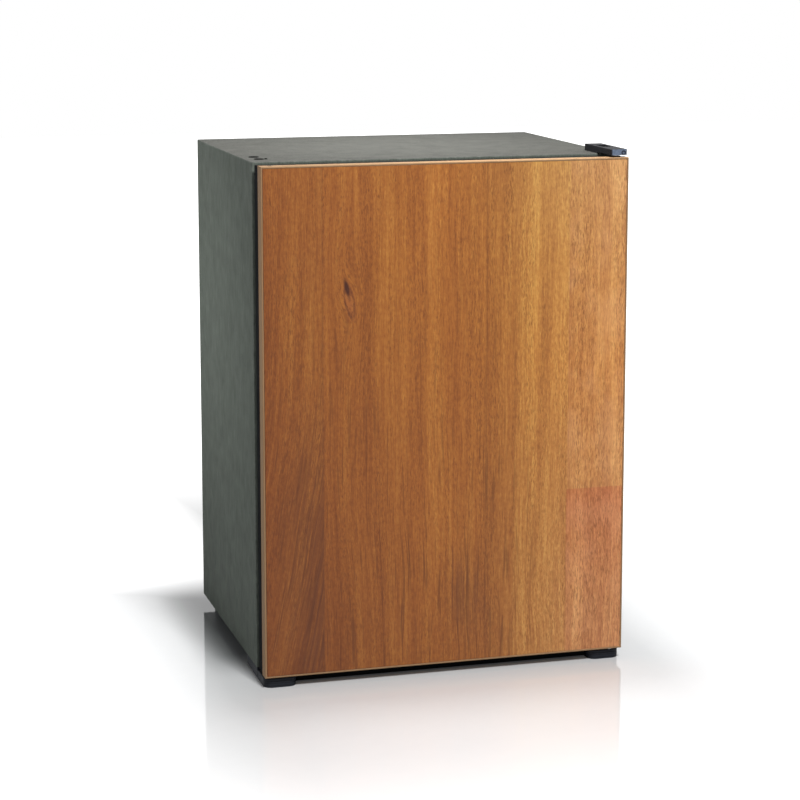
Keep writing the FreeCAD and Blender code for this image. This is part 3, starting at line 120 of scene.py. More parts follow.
@dataclass(frozen=True)
class Term:
    """A value or colour over the surface, which sums can be written with.

    Args:
        tree: the writer of the nodes that it belongs to.
        socket: where it comes out of them.
    """

    tree: "Tree"
    socket: Socket

    __add__ = written("ADD")
    __sub__ = written("SUBTRACT")
    __mul__ = written("MULTIPLY")
    __truediv__ = written("DIVIDE")
    __pow__ = written("POWER")
    __abs__ = written("ABSOLUTE")
    root = written("SQRT")
    sine = written("SINE")
    exponent = written("EXPONENT")
    larger = written("MAXIMUM")
    beyond = written("GREATER_THAN")
    soft_least = written("SMOOTH_MIN")

    def remap(self, source: Span, target: Span = (0.0, 1.0), kind: str = "LINEAR") -> "Term":
        """Carry a value from one span to another, held at the ends."""
        limits = {"From Min": source[0], "From Max": source[1], "To Min": target[0], "To Max": target[1]}
        return self.tree.output("ShaderNodeMapRange", "Result", {"Value": self, **limits},
                                interpolation_type=kind)

    def eased(self, source: Span) -> "Term":
        """Carry a span to 0 to 1 with soft ends."""
        return self.remap(source, kind="SMOOTHSTEP")

    def mixed(self, other: "Value", share: "Value", blend: str = "MIX") -> "Term":
        """Mix another colour into this one by a share."""
        return self.tree.output("ShaderNodeMix", 2, {0: share, 6: self, 7: other}, data_type="RGBA",
                                blend_type=blend)

    def between(self, first: Colour, second: Colour) -> "Term":
        """Use this value as the share between two colours."""
        return self.tree.output("ShaderNodeMix", 2, {0: self, 6: first, 7: second}, data_type="RGBA")

    def ramp(self, stops: Stops, kind: str = "LINEAR") -> "Term":
        """Turn a value into a colour by stops.

        Args:
            stops: places from 0 to 1 with their colours, in rising order.
            kind: how the colour runs from stop to stop.

        Returns:
            The colour.
        """
        made = self.tree.node("ShaderNodeValToRGB", {0: self})
        made.color_ramp.interpolation = kind
        elements = made.color_ramp.elements
        while len(elements) < len(stops):
            elements.new(1.0)
        for element, (place, colour) in zip(elements, stops):
            element.position = place
            element.color = (*colour, 1.0)
        return Term(self.tree, made.outputs["Color"])

    def part(self, axis: str) -> "Term":
        """Give a place's or direction's share along x, y or z."""
        return self.tree.output("ShaderNodeSeparateXYZ", axis, {0: self})

    def channel(self, index: int) -> "Term":
        """Give one channel of a colour."""
        return self.tree.output("ShaderNodeSeparateColor", index, {0: self})

    def stretch(self, by: "Value") -> "Term":
        """Scale a place along its three axes."""
        return self.tree.output("ShaderNodeVectorMath", 0, {0: self, 1: by}, operation="MULTIPLY")

    def noise(self, scale: "Value" = 1.0, detail: float = 3.0, roughness: float = 0.5) -> "Term":
        """Give a soft random value from 0 to 1 over this place."""
        return self.tree.output("ShaderNodeTexNoise", 0, {"Vector": self, "Scale": scale, "Detail": detail,
                                                          "Roughness": roughness})


Value = float | Colour | Term


@dataclass
class Tree:
    """Writes the nodes of one material, group or world."""

    tree: bpy.types.NodeTree

    def node(self, kind: str, inputs: Optional[dict[str | int, Value]] = None,
             **settings: object) -> bpy.types.Node:
        """Add one node.

        Args:
            kind: Blender's name of the node.
            inputs: values by input name or number.
            settings: the node's own properties.

        Returns:
            The new node.
        """
        made = self.tree.nodes.new(kind)
        for name, value in settings.items():
            setattr(made, name, value)
        for key, value in (inputs or {}).items():
            self.feed(made.inputs[key], value)
        return made

    def output(self, kind: str, name: str | int, inputs: Optional[dict[str | int, Value]] = None,
               **settings: object) -> Term:
        """Add one node and give one of its outputs."""
        return Term(self, self.node(kind, inputs, **settings).outputs[name])

    def feed(self, socket: Socket, value: Value) -> None:
        """Link a socket to a value over the surface, or set it.

        Args:
            socket: the input.
            value: what it gets.
        """
        if isinstance(value, Term):
            self.tree.links.new(value.socket, socket)
        elif isinstance(value, tuple) and socket.type == "RGBA":
            socket.default_value = (*value, 1.0)
        else:
            socket.default_value = value

    def facing(self, axis: str) -> Term:
        """Give how squarely the surface faces along x, y or z, from -1 to 1."""
        return self.output("ShaderNodeNewGeometry", "Normal").part(axis)


def blank(kind: bpy.types.bpy_prop_collection, name: str) -> bpy.types.ID:
    """Start a material or world with no nodes.

    Args:
        kind: Blender's list of such things.
        name: what it is called.

    Returns:
        The new material or world.
    """
    made = kind.new(name)
    made.use_nodes = True
    made.node_tree.nodes.clear()
    return made


def grain_nodes(place: Term, scale: Term) -> dict[str, Term]:
    """Write the fine random relief of a mould, a casting or a sprayed coat."""
    fine, broad = place.noise(scale, 2.0, 0.6), place.noise(scale * 0.03, 2.0)
    return {"Height": fine.remap((0.3, 0.7)), "Tone": (fine * 0.4 + broad * 0.6).remap((0.32, 0.68))}


def drawn_nodes(place: Term, stretch: Term) -> dict[str, Term]:
    """Write lines that run one way, as on drawn, rolled or brushed sheet and on fibres."""
    fine, broad = (place.stretch(stretch).noise(*noise) for noise in ((1.0, 4.0, 0.65), (0.21, 3.0)))
    return {"Height": fine.remap((0.3, 0.7)), "Tone": broad.remap((0.3, 0.7))}


def handled_nodes(place: Term, scale: Term) -> dict[str, Term]:
    """Write patches that hands and cloths have polished or dulled, with a few hair scratches.

    Args:
        place: the surface's own place.
        scale: how small the patches are.

    Returns:
        Their mask.
    """
    slanted = place.tree.output("ShaderNodeMapping", 0, {"Vector": place, "Rotation": (0.5, 0.3, 0.9),
                                                         "Scale": (900.0, 25.0, 900.0)})
    scratches = slanted.noise(1.0, 1.0, 0.4).remap((0.72, 0.8))
    return {"Mask": place.noise(scale, 4.0, 0.6).remap((0.4, 0.7)).larger(scratches * 0.7)}


def dust_nodes(place: Term, amount: Term) -> dict[str, Term]:
    """Write thin dust on whatever faces up."""
    specks = place.noise(70.0, 5.0, 0.7).remap((0.35, 0.75))
    return {"Mask": place.tree.facing("Z").remap((0.5, 1.0)) * specks * amount}


def rim_nodes(place: Term, amount: Term) -> dict[str, Term]:
    """Write rubbing along the rounded rims, which the pieces carry as their own attribute."""
    rim = place.tree.output("ShaderNodeAttribute", "Fac", attribute_name="rim")
    return {"Mask": rim * place.noise(160.0, 4.0, 0.65).remap((0.38, 0.66)) * amount}


@dataclass(frozen=True)
class Effect:
    """Shader effect that several finishes share, built once.

    Args:
        name: its node group's name.
        inputs: names and values of its inputs apart from the surface's own place.
        write: writes its nodes from the place and the inputs, and gives its outputs.
    """

    name: str
    inputs: dict[str, float | Colour]
    write: Callable[..., dict[str, Term]]

    def group(self) -> bpy.types.NodeTree:
        """Give the effect's node group, building it the first time.

        Returns:
            The group.
        """
        if self.name in bpy.data.node_groups:
            return bpy.data.node_groups[self.name]
        made = bpy.data.node_groups.new(self.name, "ShaderNodeTree")
        inputs = {"Place": (0.0, 0.0, 0.0), **self.inputs}
        for title, value in inputs.items():
            kind = "NodeSocketVector" if isinstance(value, tuple) else "NodeSocketFloat"
            made.interface.new_socket(title, in_out="INPUT", socket_type=kind).default_value = value
        tree = Tree(made)
        entry = tree.node("NodeGroupInput")
        results = self.write(*(Term(tree, entry.outputs[title]) for title in inputs))
        for title in results:
            made.interface.new_socket(title, in_out="OUTPUT", socket_type="NodeSocketFloat")
        tree.node("NodeGroupOutput", results)
        return made


GRAIN = Effect("moulding_grain", {"Scale": 900.0}, grain_nodes)
DRAWN = Effect("drawn_lines", {"Stretch": (1.0, 1.0, 1.0)}, drawn_nodes)
HANDLED = Effect("handled_patches", {"Scale": 14.0}, handled_nodes)
DUST = Effect("settled_dust", {"Amount": 0.3}, dust_nodes)
RIM = Effect("rim_wear", {"Amount": 0.5}, rim_nodes)


@dataclass
class Skin(Tree):
    """Writes the nodes of one material round its shader."""

    shader: bpy.types.Node = field(init=False)
    place: Term = field(init=False)

    def __post_init__(self) -> None:
        """Set up the shader, and the surface's own place in metres."""
        surface = self.output("ShaderNodeBsdfPrincipled", 0)
        self.node("ShaderNodeOutputMaterial", {"Surface": surface})
        self.shader = surface.socket.node
        self.place = self.output("ShaderNodeTexCoord", "Object")

    def set(self, inputs: dict[str, Value]) -> None:
        """Set or link the shader's inputs by name."""
        for name, value in inputs.items():
            self.feed(self.shader.inputs[name], value)

    def emboss(self, height: Term, depth: float, strength: float = 1.0) -> Term:
        """Raise the surface by a height from 0 to 1, for a relief of a depth in millimetres.

        Args:
            height: the height.
            depth: the relief's depth.
            strength: how much of it shows.

        Returns:
            The same height.
        """
        relief = {"Height": height, "Distance": depth * MM, "Strength": strength}
        self.set({"Normal": self.output("ShaderNodeBump", "Normal", relief)})
        return height

    def effect(self, effect: Effect, **inputs: Value) -> dict[str, Term]:
        """Lay one of the shared effects.

        Args:
            effect: the effect.
            inputs: its inputs apart from the place.

        Returns:
            Its outputs by name.
        """
        made = self.node("ShaderNodeGroup")
        made.node_tree = effect.group()
        for name, value in {"place": self.place, **inputs}.items():
            self.feed(made.inputs[name.title()], value)
        return {socket.name: Term(self, socket) for socket in made.outputs}

    def grain(self, scale: float, depth: float) -> Term:
        """Emboss a mould's grain and give its tone.

        Args:
            scale: how fine it is.
            depth: its depth in millimetres.

        Returns:
            The tone, from 0 to 1.
        """
        grain = self.effect(GRAIN, scale=scale)
        self.emboss(grain["Height"], depth)
        return grain["Tone"]

    def cells(self, scale: float, name: str, **settings: object) -> Term:
        """Give one output of a pattern of random cells."""
        return self.output("ShaderNodeTexVoronoi", name, {"Vector": self.place, "Scale": scale}, **settings)


# Finishes

@dataclass(frozen=True)
class Finish:
    """A surface's colour and gloss, with wear and dust over them."""

    DUST_COLOUR: ClassVar[Colour] = (0.42, 0.4, 0.37)

    colour: Colour
    roughness: float = 0.5
    metallic: float = 0.0
    specular: float = 0.5
    coat: float = 0.0
    wear: float = 0.25
    wear_colour: Colour = (0.5, 0.5, 0.48)
    dust: float = 0.06
    gloss_spread: float = 0.08

    def material(self, slot: str) -> bpy.types.Material:
        """Build the finish's material.

        Args:
            slot: the record's slot that it is named after.

        Returns:
            The new material.
        """
        made = blank(bpy.data.materials, slot)
        skin = Skin(made.node_tree)
        skin.set({"Metallic": self.metallic, "Specular IOR Level": self.specular, "Coat Weight": self.coat})
        self.dress(skin, self.patterned(skin))
        made.diffuse_color = (*self.colour, 1.0)
        return made

    def patterned(self, skin: Skin) -> Term:
        """Lay the finish's own pattern and give its colour over the surface."""
        raise NotImplementedError

    def toned(self, tone: Term, spread: float) -> Term:
        """Vary the colour a little darker and lighter by a tone from 0 to 1."""
        return tone.between(scaled(self.colour, 1 - spread), scaled(self.colour, 1 + spread))

    def dress(self, skin: Skin, colour: Term) -> None:
        """Lay wear and dust over the pattern, and let handling change the gloss.

        Args:
            skin: the material's writer.
            colour: the pattern's colour.
        """
        worn = skin.effect(RIM, amount=self.wear)["Mask"]
        dusty = skin.effect(DUST, amount=self.dust)["Mask"]
        polished = max(0.05, self.roughness - self.gloss_spread)
        rough = skin.effect(HANDLED)["Mask"].remap((0.0, 1.0), (self.roughness, polished))
        skin.set({"Base Color": colour.mixed(self.wear_colour, worn).mixed(self.DUST_COLOUR, dusty),
                  "Roughness": skin.output("ShaderNodeMath", 0, {0: rough, 1: dusty}, operation="ADD",
                                           use_clamp=True)})


@dataclass(frozen=True)
class Moulded(Finish):
    """Moulded plastic or rubber with a fine grain from its mould."""

    grain_scale: float = 900.0
    grain_depth: float = 0.03
    tone_spread: float = 0.1

    def patterned(self, skin: Skin) -> Term:
        """Lay the mould's grain."""
        return self.toned(skin.grain(self.grain_scale, self.grain_depth), self.tone_spread)


@dataclass(frozen=True)
class Tucked(Moulded):
    """Black moulding with a patchy dark grey where it sits behind the cabinet; its near-black elsewhere is
    partly its own colour and partly painted shade for the door's gap.
    """

    back: float = 0.124
    grey: Colour = seen(50, 50, 51)

    def patterned(self, skin: Skin) -> Term:
        """Lay the grain, and the patchy grey where the moulding sits behind the cabinet.

        Args:
            skin: the material's writer.

        Returns:
            The colour over the surface.
        """
        colour = super().patterned(skin)
        patchy = skin.place.noise(60.0, 4.0).remap((0.3, 0.65), (0.45, 0.95))
        return colour.mixed(self.grey, skin.place.part("Y").remap((self.back, self.back + 2 * MM)) * patchy)


@dataclass(frozen=True)
class Ribbed(Finish):
    """Rubber with fine level grooves moulded round it."""

    pitch: float = 2.6
    groove_shade: float = 0.35

    def patterned(self, skin: Skin) -> Term:
        """Lay the grooves, with painted shade darkening their bottoms.

        Args:
            skin: the material's writer.

        Returns:
            The colour over the surface.
        """
        grain = skin.effect(GRAIN, scale=900.0)
        wave = (skin.place.part("Z") * (math.tau / (self.pitch * MM))).sine()
        ridge = wave.eased((-0.9, -0.2))
        skin.emboss(ridge * 0.85 + grain["Height"] * 0.15, 0.35)
        return ridge.between(scaled(self.colour, self.groove_shade), self.colour)


@dataclass(frozen=True)
class Lined(Finish):
    """Surface with lines one way: brushed or drawn metal, fibres, rolled sheet."""

    stretch: Colour = (1500.0, 1500.0, 30.0)
    line_depth: float = 0.01
    tone_spread: float = 0.15

    def patterned(self, skin: Skin) -> Term:
        """Lay the lines.

        Args:
            skin: the material's writer.

        Returns:
            The colour over the surface.
        """
        lines = skin.effect(DRAWN, stretch=self.stretch)
        skin.emboss(lines["Height"], self.line_depth)
        return self.toned(lines["Tone"], self.tone_spread)


@dataclass(frozen=True)
class TopLitLined(Lined):
    """Lined strip whose top face is painted lighter, as painted light from above, most at the hinge side."""

    top_light_colour: Colour = seen(222, 178, 132)

    def patterned(self, skin: Skin) -> Term:
        """Lay the lines, and the painted light's paler tone on what faces up."""
        share = skin.facing("Z").remap((0.5, 0.9)) * skin.place.part("X").remap((-0.2, 0.2), (0.35, 0.9))
        return super().patterned(skin).mixed(self.top_light_colour, share)


@dataclass(frozen=True)
class EmbossedCoat(Finish):
    """Cabinet sheet whose dark coat is rolled with short upright marks, and tinted warmer and lighter where
    it faces up as painted light.
    """

    marks: Colour = (620.0, 620.0, 60.0)
    depth: float = 0.2
    top_light_tint: Colour = (1.13, 1.0, 1.05)

    def patterned(self, skin: Skin) -> Term:
        """Lay the rolled marks, and let the coat shade with them.

        Args:
            skin: the material's writer.

        Returns:
            The colour over the surface.
        """
        marks = skin.effect(DRAWN, stretch=self.marks)["Height"]
        grain = skin.effect(GRAIN, scale=1500.0)
        skin.emboss(marks + grain["Height"] * 0.4, self.depth)
        coat = self.toned(marks * 0.6 + grain["Tone"] * 0.4, 0.4)
        # Painted light: what faces up is tinted warmer and lighter.
        return coat.mixed(self.top_light_tint, skin.facing("Z").remap((0.5, 0.9)), "MULTIPLY")


@dataclass(frozen=True)
class Faced(Moulded):
    """Dark moulding whose front face carries a painted highlight, paler and bluer.

    Args:
        face: how far back the front face lies.
        mark: the middle of the round mould mark on it, across and upright.
    """

    face_highlight: Colour = seen(108, 121, 142)
    mark_colour: Colour = seen(26, 28, 36)
    face: float = 0.0
    mark: Span = (0.0, 0.0)
    mark_radius: float = 0.0019

    def patterned(self, skin: Skin) -> Term:
        """Lay the grain, and on the front face the painted highlight's paler tone and the small round mould
        mark.

        Args:
            skin: the material's writer.

        Returns:
            The colour over the surface.
        """
        x, y, z = (skin.place.part(axis) for axis in "XYZ")
        patchy = skin.place.noise(300.0, 3.0).remap((0.35, 0.65), (0.6, 0.95))
        front = skin.facing("Y").remap((-0.7, -0.95)) * y.remap((self.face + 6 * MM, self.face + 4 * MM))
        reach = ((x - self.mark[0]) ** 2.0 + (z - self.mark[1]) ** 2.0).root()
        ring = abs(reach - self.mark_radius).remap((1.1 * MM, 0.5 * MM))
        # Painted highlight on the front face.
        colour = super().patterned(skin).mixed(self.face_highlight, front * patchy)
        return colour.mixed(self.mark_colour, front * ring * 0.9)


@dataclass(frozen=True)
class BoreShaded(Moulded):
    """Moulded bush whose upright walls, its bore among them, are painted dark as painted shade."""

    bore_shade: Colour = seen(34, 26, 20)

    def patterned(self, skin: Skin) -> Term:
        """Lay the grain, and the painted shade where the wall is upright."""
        patchy = skin.place.noise(500.0, 2.0).remap((0.3, 0.6), (0.8, 1.0))
        return super().patterned(skin).mixed(self.bore_shade, abs(skin.facing("Z")).remap((0.6, 0.2)) * patchy)


@dataclass(frozen=True)
class Spangled(Finish):
    """Hot-dip zinc with its frosted crystals."""

    crystal: float = 90.0

    def patterned(self, skin: Skin) -> Term:
        """Lay the crystals, each with its own shade."""
        skin.grain(500.0, 0.008)
        return self.toned(skin.cells(self.crystal, "Color").channel(0), 0.16)


@dataclass(frozen=True)
class CellFoam(Finish):
    """Rigid foam with open cells."""

    cell: float = 420.0

    def patterned(self, skin: Skin) -> Term:
        """Lay the cells as small pits, darkened inside as painted shade."""
        pits = skin.emboss(skin.cells(self.cell, "Distance").remap((0.0, 0.7)), 0.4)
        return self.toned(pits, 0.15)


@dataclass(frozen=True)
class Clear(Finish):
    """Milky or clear plastic that lets light through."""

    through: float = 0.5

    def patterned(self, skin: Skin) -> Term:
        """Lay a faint flow pattern."""
        skin.set({"Transmission Weight": self.through, "IOR": 1.46})
        return self.toned(skin.grain(260.0, 0.012), 0.04)


@dataclass(frozen=True)
class Sleeved(Finish):
    """Braided glass sleeve of a hot lead."""

    def patterned(self, skin: Skin) -> Term:
        """Lay the braid's small lozenges."""
        braid = skin.output("ShaderNodeTexChecker", "Fac", {"Vector": skin.place, "Scale": 1400.0})
        return self.toned(skin.emboss(braid, 0.1), 0.3)


@dataclass(frozen=True)
class Circuit(Finish):
    """Lamp board with its lacquered copper tracks."""

    track: Colour = (0.12, 0.34, 0.16)

    def patterned(self, skin: Skin) -> Term:
        """Lay the tracks as blocks of slightly lighter lacquer."""
        cells = skin.cells(160.0, "Distance", distance="MANHATTAN", feature="F2")
        return skin.emboss(cells.remap((0.62, 0.66)), 0.03).between(self.colour, self.track)


@dataclass(frozen=True)
class Stave:
    """One strip of the veneer.

    Args:
        start: where it begins across the door, 0 at the left and 1 at the right.
        tint: what its colour is multiplied by.
        lean: how far its fibres move right for each unit up.
        seed: shift that gives it its own figure.
    """

    start: float
    tint: Colour
    lean: float
    seed: float


STAVES: tuple[Stave, ...] = (
    Stave(0.0, (0.98, 0.96, 0.96), 0.17, 0.1),
    Stave(0.16, (1.06, 1.05, 1.02), -0.03, 0.33),
    Stave(0.365, (1.13, 1.14, 1.1), 0.0, 0.55),
    Stave(0.605, (1.04, 1.04, 1.04), 0.01, 0.72),
    Stave(0.682, (1.07, 1.1, 1.1), 0.0, 0.2),
    Stave(0.834, (1.07, 1.08, 1.2), 0.0, 0.9),
)


@dataclass(frozen=True)
class Veneer(Finish):
    """Real-wood veneer of upright staves, with a knot, a flame figure and an end joint.

    Each noise is a pair: how close it lies across, between staves and along the fibres, and its detail.
    """

    SWAY: ClassVar = ((9.0, 6.0, 3.2), 2.0)
    FIGURE: ClassVar = ((46.0, 9.0, 1.7), 3.0)
    STREAKS: ClassVar = ((330.0, 5.0, 7.0), 4.0)
    HAIRS: ClassVar = ((1100.0, 3.0, 60.0), 3.0)
    FINE_PORES: ClassVar = ((1700.0, 4.0, 170.0), 1.0)
    COARSE_PORES: ClassVar = ((900.0, 4.0, 100.0), 1.0)
    LONG_PORES: ClassVar = ((420.0, 9.0, 12.0), 2.0)
    PORE_BANDS: ClassVar = ((90.0, 7.0, 4.0), 2.0)
    GRAIN_TONES: ClassVar[Stops] = ((0.34, seen(118, 66, 35)), (0.44, seen(147, 87, 48)),
                                    (0.52, seen(165, 103, 56)), (0.64, seen(190, 130, 74)))
    # Tint across the door: partly the wood's own tone, partly painted light that brightens it towards the
    # right.
    ACROSS_TONE_AND_LIGHT: ClassVar[Stops] = (
        (0.0, (0.44, 0.4, 0.285)), (0.25, (0.485, 0.46, 0.315)), (0.5, (0.54, 0.525, 0.36)),
        (0.63, (0.57, 0.58, 0.42)), (0.75, (0.7, 0.78, 0.63)), (1.0, (0.85, 0.99, 1.0)))
    LEFT_TINTS: ClassVar[Stops] = ((0.0, (0.4, 0.375, 0.39)), (0.35, (0.455, 0.435, 0.44)),
                                   (0.7, (0.5, 0.5, 0.495)), (1.0, (0.51, 0.52, 0.55)))
    RIGHT_TINTS: ClassVar[Stops] = (
        (0.0, (0.49, 0.52, 0.64)), (0.3, (0.48, 0.49, 0.53)), (0.6, (0.49, 0.48, 0.44)),
        (0.8, (0.51, 0.555, 0.55)), (1.0, (0.54, 0.66, 0.77)))
    TINT_GAIN: ClassVar[Colour] = (6.6, 6.6, 6.5)
    SEED_GAIN: ClassVar[float] = 6.0
    SEAM: ClassVar[float] = 0.0022

    across: Span = (-0.201, 0.201)
    upright: Span = (0.0123, 0.5548)
    knot: Span = (-0.1093, 0.4207)
    joint: Span = (0.1341, 0.1968)
    bruise: Span = (0.019, 0.088)
    pore_colour: Colour = seen(84, 44, 24)
    seam_colour: Colour = seen(98, 56, 32)

    def patterned(self, skin: Skin) -> Term:
        """Lay the staves, their fibres, the knot, the pores and the seams.

        Args:
            skin: the material's writer.

        Returns:
            The colour over the surface.
        """
        x, z = skin.place.part("X"), skin.place.part("Z")
        share = x.remap(self.across)
        values = share.ramp([(stave.start, (stave.lean + 0.5, stave.seed, 0.0)) for stave in STAVES],
                            "CONSTANT")
        lean, seed = values.channel(0) - 0.5, values.channel(1) * self.SEED_GAIN
        near = ((self.oval(x, z, self.knot, (0.017, 0.062)) ** 2.0) * -1.0).exponent()
        parted = near * (x - self.knot[0]) * 0.72
        sway = (self.field(self.spot(x, seed, z), *self.SWAY) - 0.5) * 0.022
        bent = near * ((z - self.knot[1]) * -0.2)
        fibre = (x - parted - lean * z.soft_least(0.3, 0.2)) + (sway - bent)
        along = self.spot(fibre, seed, z)
        figure, streaks, hairs = (self.field(along, *noise)
                                  for noise in (self.FIGURE, self.STREAKS, self.HAIRS))
        mottle = skin.place.stretch((330.0, 330.0, 210.0)).noise(1.0, 2.0, 0.6)
        colour = ((figure * 0.34 + streaks * 0.22) + (hairs * 0.26 + mottle * 0.18)).ramp(self.GRAIN_TONES)
        colour = colour.mixed(self.tinted(share, z.remap(self.upright)), 1.0, "MULTIPLY")
        colour = self.bruised(self.jointed(colour, x, z), x, z, streaks)
        colour = self.knotted(self.seamed(colour, share, z, streaks), x, z)
        pores = self.pores(along, fibre, z)
        skin.emboss(hairs * 0.5 - pores, 0.06, 0.6)
        return colour.mixed(self.pore_colour, pores * 0.62)

    def spot(self, x: Term, y: Value, z: Term) -> Term:
        """Join three values into a place."""
        return x.tree.output("ShaderNodeCombineXYZ", 0, {0: x, 1: y, 2: z})

    def field(self, place: Term, by: Colour, detail: float) -> Term:
        """Give noise that is stretched along the fibres."""
        return place.stretch(by).noise(1.0, detail, 0.6)

    def oval(self, x: Term, z: Term, middle: Span, size: Span, slope: float = 0.0) -> Term:
        """Give how far a place is from an oval's middle, 1 on its outline.

        Args:
            x: the place across.
            z: the place upright.
            middle: the oval's middle.
            size: half its width and half its height.
            slope: how far it leans left for each unit up.

        Returns:
            The distance.
        """
        above = z - middle[1]
        aside = (x - middle[0]) + above * slope
        return ((aside / size[0]) ** 2.0 + (above / size[1]) ** 2.0).root()

    def tinted(self, share: Term, rise: Term) -> Term:
        """Give the tint across the door: the wood's own tone with painted light that brightens it towards the
        right, darker towards the floor at the left.

        Args:
            share: the place across, 0 to 1.
            rise: the place upright, 0 to 1.

        Returns:
            What the fibres' colour is multiplied by.
        """
        stave = share.ramp([(stave.start, scaled(stave.tint, 0.5)) for stave in STAVES], "CONSTANT")
        drop = rise.ramp(self.LEFT_TINTS).mixed(rise.ramp(self.RIGHT_TINTS), share.remap((0.5, 0.85)))
        tint = stave.mixed(share.ramp(self.ACROSS_TONE_AND_LIGHT), 1.0, "MULTIPLY").mixed(drop, 1.0, "MULTIPLY")
        return tint.mixed(self.TINT_GAIN, 1.0, "MULTIPLY")

    def jointed(self, colour: Term, x: Term, z: Term) -> Term:
        """Add the end joint at the right: a reddish board under it and a curl beside it.

        Args:
            colour: the wood so far.
            x: the place across.
            z: the place upright.

        Returns:
            The wood's colour.
        """
        right = x.beyond(self.joint[0])
        wavy = self.spot(x, 0.0, z).stretch((30.0, 1.0, 22.0)).noise()
        level = self.joint[1]
        below = right * z.remap((level - 0.13, level), (0.3, 1.0)) * z.remap((level, level - 1.2 * MM))
        colour = colour.mixed((0.9, 0.64, 0.76), below * wavy.remap((0.3, 0.6), (0.45, 1.0)), "MULTIPLY")
        curl = right * wavy.remap((0.35, 0.65), (-0.1, 0.2))
        return colour.mixed(seen(235, 180, 125), curl.larger(0.0))

    def bruised(self, colour: Term, x: Term, z: Term, streaks: Term) -> Term:
        """Add the streaked bruise near the foot of the door to the wood's colour."""
        near = self.oval(x, z, self.bruise, (0.024, 0.05), 0.1).eased((1.3, 0.2))
        return colour.mixed(seen(98, 58, 36), near * streaks.remap((0.62, 0.4), (0.1, 0.6)))

    def seamed(self, colour: Term, share: Term, z: Term, streaks: Term) -> Term:
        """Add the dark streaks of the left stave's foot, which its seam cuts off, and the seams.

        Args:
            colour: the wood so far.
            share: the place across, 0 to 1.
            z: the place upright.
            streaks: the fibres' streaks.

        Returns:
            The wood's colour.
        """
        grown = share.remap((0.02, 0.13)) * share.remap((0.162, 0.159)) * z.eased((0.34, 0.16))
        colour = colour.mixed(seen(96, 54, 32), grown * streaks.remap((0.6, 0.42), (0.12, 0.75)))
        seams = [(0.0, BLACK)]
        for stave in STAVES[1:]:
            before, after = stave.start - self.SEAM, stave.start + self.SEAM
            seams += [(before, BLACK), (stave.start, WHITE), (after, BLACK)]
        return colour.mixed(self.seam_colour, share.ramp(seams) * 0.4)

    def knotted(self, colour: Term, x: Term, z: Term) -> Term:
        """Add the knot: a dark slit over a long eye with a dark outline.

        Args:
            colour: the wood so far.
            x: the place across.
            z: the place upright.

        Returns:
            The wood's colour.
        """
        across, level = self.knot
        eye = self.oval(x, z, (across + 1.6 * MM, level - 8.5 * MM), (0.0052, 0.0175), 0.16)
        slit = self.oval(x, z, (across - 1.2 * MM, level + 5.5 * MM), (0.0027, 0.0105), 0.22)
        ragged = self.spot(x, 0.0, z).stretch((420.0, 1.0, 150.0)).noise(1.0, 2.0)
        line = abs(eye - 0.9).eased((0.34, 0.05)) * ragged.remap((0.35, 0.6), (0.3, 0.95))
        colour = colour.mixed(seen(150, 88, 50), eye.remap((1.5, 0.4), (0.0, 0.45)))
        colour = colour.mixed(seen(84, 42, 26), line * 0.75)
        return colour.mixed(seen(58, 26, 18), slit.remap((1.25, 0.55), (0.0, 0.92)))

    def pores(self, along: Term, fibre: Term, z: Term) -> Term:
        """Give the short dark pores and long dark streaks, thicker in some bands than in others.

        Args:
            along: the place in the fibres' own run.
            fibre: its share across.
            z: the place upright.

        Returns:
            The pores' mask.
        """
        fine, coarse, long, bands = (self.field(along, *noise) for noise in (
            self.FINE_PORES, self.COARSE_PORES, self.LONG_PORES, self.PORE_BANDS))
        dashes = fine.remap((0.53, 0.64)).larger(coarse.remap((0.6, 0.7), (0.0, 0.8)))
        low = z.remap((0.5, 0.15), (0.25, 1.0)) * fibre.remap((0.05, 0.13), (1.0, 0.3))
        lines = long.remap((0.55, 0.66), (0.0, 0.9)) * low
        return lines.larger(dashes * bands.remap((0.35, 0.62), (0.25, 0.9)))


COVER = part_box("top_hinge_cover")
COVER_MARK = (COVER[1][0] - 4.8 * MM, (COVER[0][2] + COVER[1][2]) / 2)


